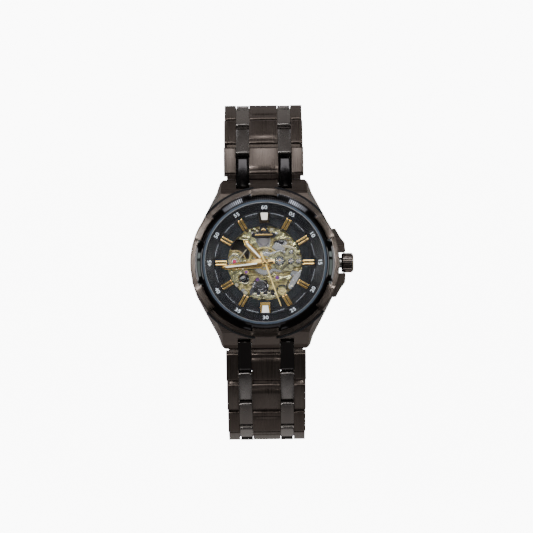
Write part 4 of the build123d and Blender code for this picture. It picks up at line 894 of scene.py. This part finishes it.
star_wheel("minute_star", 4.2, 0.56, 1.37, 12, 7.36, "minute_wheel_body")
star_wheel("day_star", 7.35, 0.45, 0.9, 7, 7.36, "case")
star_wheel("edge_pinion", 9.45, 0.4, 0.82, 6, 7.36, "case", teeth=12)
turned("bridge_post", 7.5, 3.0, [(0, 7.0), (0.6, 7.0), (0.6, 7.38), (0.48, 7.5), (0.2, 7.55), (0, 7.55)], m_bright)
cut_plate("bridge_lobe", smooth_loop([(4.8, 4.9), (5.6, 4.95), (7.0, 4.75), (8.6, 4.1), (9.0, 3.5), (8.2, 3.75),
                                      (7.0, 4.1), (5.9, 4.2), (5.2, 4.4)], 5), [], 7.34, 7.44, m_rim, bevel=0.04)
cut_plate("centre_wave", smooth_loop([(-0.9, 2.4), (0.2, 2.9), (1.6, 2.75), (2.8, 3.1), (4.3, 3.4), (5.0, 3.2), (4.2, 2.75),
                                      (3.0, 2.5), (1.9, 2.0), (0.9, 1.9), (-0.2, 2.0)], 5), [], 7.12, 7.3, m_bright,
          bevel=0.07)
torus_band("cannon_ring", 0, 0, 1.75, 0.5, 7.12, 7.3, m_yellow)

# setting lever at the right
LV = smooth_loop([(10.3, -2.2), (9.3, -2.5), (8.4, -3.2), (7.6, -4.2), (7.1, -5.3), (6.5, -6.6), (6.9, -7.5), (7.9, -7.3),
                  (8.5, -6.0), (9.2, -5.0), (10.0, -3.6)], 6)
cut_plate("setting_lever", LV, [], 6.5, 6.86, m_bright, bevel=0.12)
turned("lever_post", 7.5, -6.7, [(0, 6.8), (0.34, 6.8), (0.34, 7.0), (0.24, 7.06), (0, 7.08)], m_rim)
cut_plate("lever_spring", smooth_loop([(7.2, -3.3), (6.9, -4.4), (6.1, -5.9), (5.9, -7.3), (6.1, -7.3), (6.3, -6.0),
                                       (7.1, -4.5), (7.5, -3.4)], 5), [], 6.4, 6.7, m_dark,
          bevel=0.04)

# half disc with its arc, notched plate and screws at the bottom
cut_plate("half_disc", smooth_loop([(3.5, -8.1), (3.9, -7.1), (4.9, -6.9), (5.9, -7.4), (6.0, -8.4), (5.3, -9.0),
                                    (4.2, -9.2)], 6), [], 6.36, 6.66, m_yellow, bevel=0.1, rim=m_rim)
cut_plate("half_disc_arc", smooth_loop([(3.2, -7.4), (4.0, -6.3), (5.2, -6.1), (6.2, -6.7), (6.0, -7.0), (5.0, -6.6),
                                        (4.1, -6.9), (3.6, -7.6)], 5), [], 6.36, 6.5, m_dark,
          bevel=0.04)
nb = [(10.2 * sin(radians(a)), 10.2 * cos(radians(a))) for a in range(160, 207, 3)]
nb += [(-3.6, -8.7), (-2.5, -8.4), (-2.3, -9.1), (-1.5, -9.1), (-1.3, -8.2), (-0.5, -8.2), (-0.4, -8.9), (0.6, -8.9),
       (0.7, -8.1), (1.5, -8.3), (1.7, -9.1), (2.4, -9.2), (2.6, -8.4), (3.3, -8.7)]
cut_plate("notched_plate", nb, [], 6.2, 6.8, m_bridge, rim=m_rim, bevel=0.08)
# painted shade: a thin dark steel sheet at the bottom of the notches so they read dark
cut_plate("notch_shade_sheet", [(-2.6, -9.2), (-2.6, -7.6), (2.7, -7.6), (2.7, -9.2)], [], 6.2, 6.26, m_dark,
          bevel=0.02)
screw("gold_screw_a", -8.0, -6.1, 0.62, 6.3, 7.0, m_rim, 0.8)
screw("gold_screw_b", -5.6, -8.35, 0.72, 6.3, 6.95, m_rim, 0.2)
screw("gold_screw_c", 5.2, -9.3, 0.5, 6.2, 6.8, m_yellow, 1.2)
screw("steel_screw_a", -9.3, -3.0, 0.42, 6.3, 6.6, m_bright, 2.0)
screw("steel_screw_b", 6.6, 7.0, 0.45, 6.4, 6.8, m_bright, 0.5)

# --------------------------------------------------------------- stage, camera, light
def plane_mesh(name, size, z, mat):
    b = bmesh.new()
    vs = [b.verts.new((sx * size, sy * size, z)) for sx, sy in ((-1, -1), (1, -1), (1, 1), (-1, 1))]
    b.faces.new(vs)
    me = bpy.data.meshes.new(name)
    b.to_mesh(me)
    b.free()
    ob = bpy.data.objects.new(name, me)
    bpy.context.scene.collection.objects.link(ob)
    me.materials.append(mat)
    return ob


fm = bpy.data.materials.new("floor")
fm.use_nodes = True
fp = fm.node_tree.nodes["Principled BSDF"]
fp.inputs["Base Color"].default_value = (0.9, 0.9, 0.9, 1)
fp.inputs["Roughness"].default_value = 0.9
fp.inputs["Emission Color"].default_value = (1, 1, 1, 1)
fp.inputs["Emission Strength"].default_value = 9.0
floor = plane_mesh("floor", 12.0, cad_lo[2] - 0.06, fm)
floor.visible_glossy = False
floor.visible_transmission = False
floor.visible_diffuse = False

T = radians(4.0)
D = 0.9
C0 = Vector((0, 0, 0.0113))
cam = bpy.data.cameras.new("camera")
cam.sensor_width = 36.0
cam.lens = 36.0 * D / 0.14924
co = bpy.data.objects.new("camera", cam)
bpy.context.scene.collection.objects.link(co)
view = Vector((0, -sin(T), cos(T)))
upv = Vector((0, cos(T), sin(T)))
right = Vector((1, 0, 0))
aim = C0 + right * (1.6 * 0.28 * MM) - upv * (4.6 * 0.28 * MM)
pos = aim + view * D
roll = radians(-0.7)
r2 = right * cos(roll) + upv * sin(roll)
u2 = -right * sin(roll) + upv * cos(roll)
co.matrix_world = Matrix(((r2.x, u2.x, view.x, pos.x), (r2.y, u2.y, view.y, pos.y), (r2.z, u2.z, view.z, pos.z),
                          (0, 0, 0, 1)))
cam.clip_start = 0.05
cam.clip_end = 20
bpy.context.scene.camera = co


def area(name, loc, target, size, power, color=(1, 1, 1), sy=None):
    l = bpy.data.lights.new(name, "AREA")
    l.shape = "RECTANGLE"
    l.size = size
    l.size_y = sy or size
    l.energy = power
    l.color = color
    o = bpy.data.objects.new(name, l)
    bpy.context.scene.collection.objects.link(o)
    o.location = loc
    d = Vector(target) - Vector(loc)
    o.rotation_euler = d.to_track_quat("-Z", "Y").to_euler()
    return o


area("top_box", (0.0, 0.635, 0.72), (0, 0, 0), 0.55, 2.5, sy=0.26)
area("flank_box", (0.05, 0.46, 1.25), (0, 0, 0), 0.30, 0.56, (1.0, 0.99, 0.93), sy=0.20)
area("over_box", (0.03, 0.12, 1.35), (0, 0, 0), 0.20, 0.06)
area("left_box", (-0.85, 0.05, 0.34), (0, 0, 0), 0.42, 3.4, (0.97, 1.0, 0.95), sy=0.34)
area("right_box", (0.85, 0.05, 0.34), (0, 0, 0), 0.42, 3.4, (0.97, 1.0, 0.95), sy=0.34)
for side, sx in (("left", -0.85), ("right", 0.85)):
    area(side + "_low", (sx, -0.015, 0.035), (0, 0, 0.01), 0.20, 0.36, (0.82, 1.0, 0.87), sy=0.13)
    area(side + "_low_b", (sx, 0.155, 0.045), (0, 0, 0.01), 0.07, 0.15, (0.85, 1.0, 0.92), sy=0.10)
for k, (az, wd) in enumerate(((-27, 0.26), (29, 0.24))):
    area("strip_%d" % k, (0.86 * sin(radians(az)), 0.86 * cos(radians(az)), 0.045), (0, 0, 0.01), wd, 0.50,
         (0.92, 0.95, 1.0), sy=0.17)
area("left_high", (-0.50, 0.10, 0.74), (0, 0, 0), 0.11, 3.4, (1.0, 0.98, 0.95))
area("right_high", (0.50, 0.10, 0.74), (0, 0, 0), 0.11, 3.4, (1.0, 0.98, 0.95))
area("front_box", (0.0, -0.85, 0.28), (0, 0, 0), 0.6, 0.35, sy=0.2)
area("spot_left", (-0.33, 0.20, 0.80), (0, 0, 0), 0.10, 1.0, sy=0.10)

w = bpy.data.worlds.new("studio")
bpy.context.scene.world = w
w.use_nodes = True
bg = w.node_tree.nodes["Background"]
bg.inputs[0].default_value = (1, 0.94, 0.90, 1)
wn = w.node_tree.nodes
wl = w.node_tree.links
w_co = wn.new("ShaderNodeTexCoord")
w_sep = wn.new("ShaderNodeSeparateXYZ")
wl.new(w_co.outputs["Generated"], w_sep.inputs[0])


def w_ramp(out, a, b, lo_v, hi_v):
    n = wn.new("ShaderNodeMapRange")
    for i, v in enumerate((a, b, lo_v, hi_v)):
        n.inputs[i + 1].default_value = v
    wl.new(out, n.inputs[0])
    return n.outputs[0]


def w_math(op, p, q):
    n = wn.new("ShaderNodeMath")
    n.operation = op
    for i, v in enumerate((p, q)):
        if isinstance(v, float):
            n.inputs[i].default_value = v
        else:
            wl.new(v, n.inputs[i])
    return n.outputs[0]


# the pale table below the horizon and a pale wall beyond twelve o'clock, in a dim room
w_low = w_ramp(w_sep.outputs["Z"], -0.16, -0.06, 0.42, 0.0)
w_wall = w_math("MULTIPLY", w_ramp(w_sep.outputs["Z"], 0.17, 0.27, 0.0, 1.0), w_ramp(w_sep.outputs["Z"], 0.48, 0.6, 1.0, 0.0))
w_wall = w_math("MULTIPLY", w_wall, w_ramp(w_sep.outputs["Y"], 0.3, 0.6, 0.0, 0.36))
wl.new(w_math("ADD", w_math("ADD", w_low, w_wall), 0.07), bg.inputs[1])
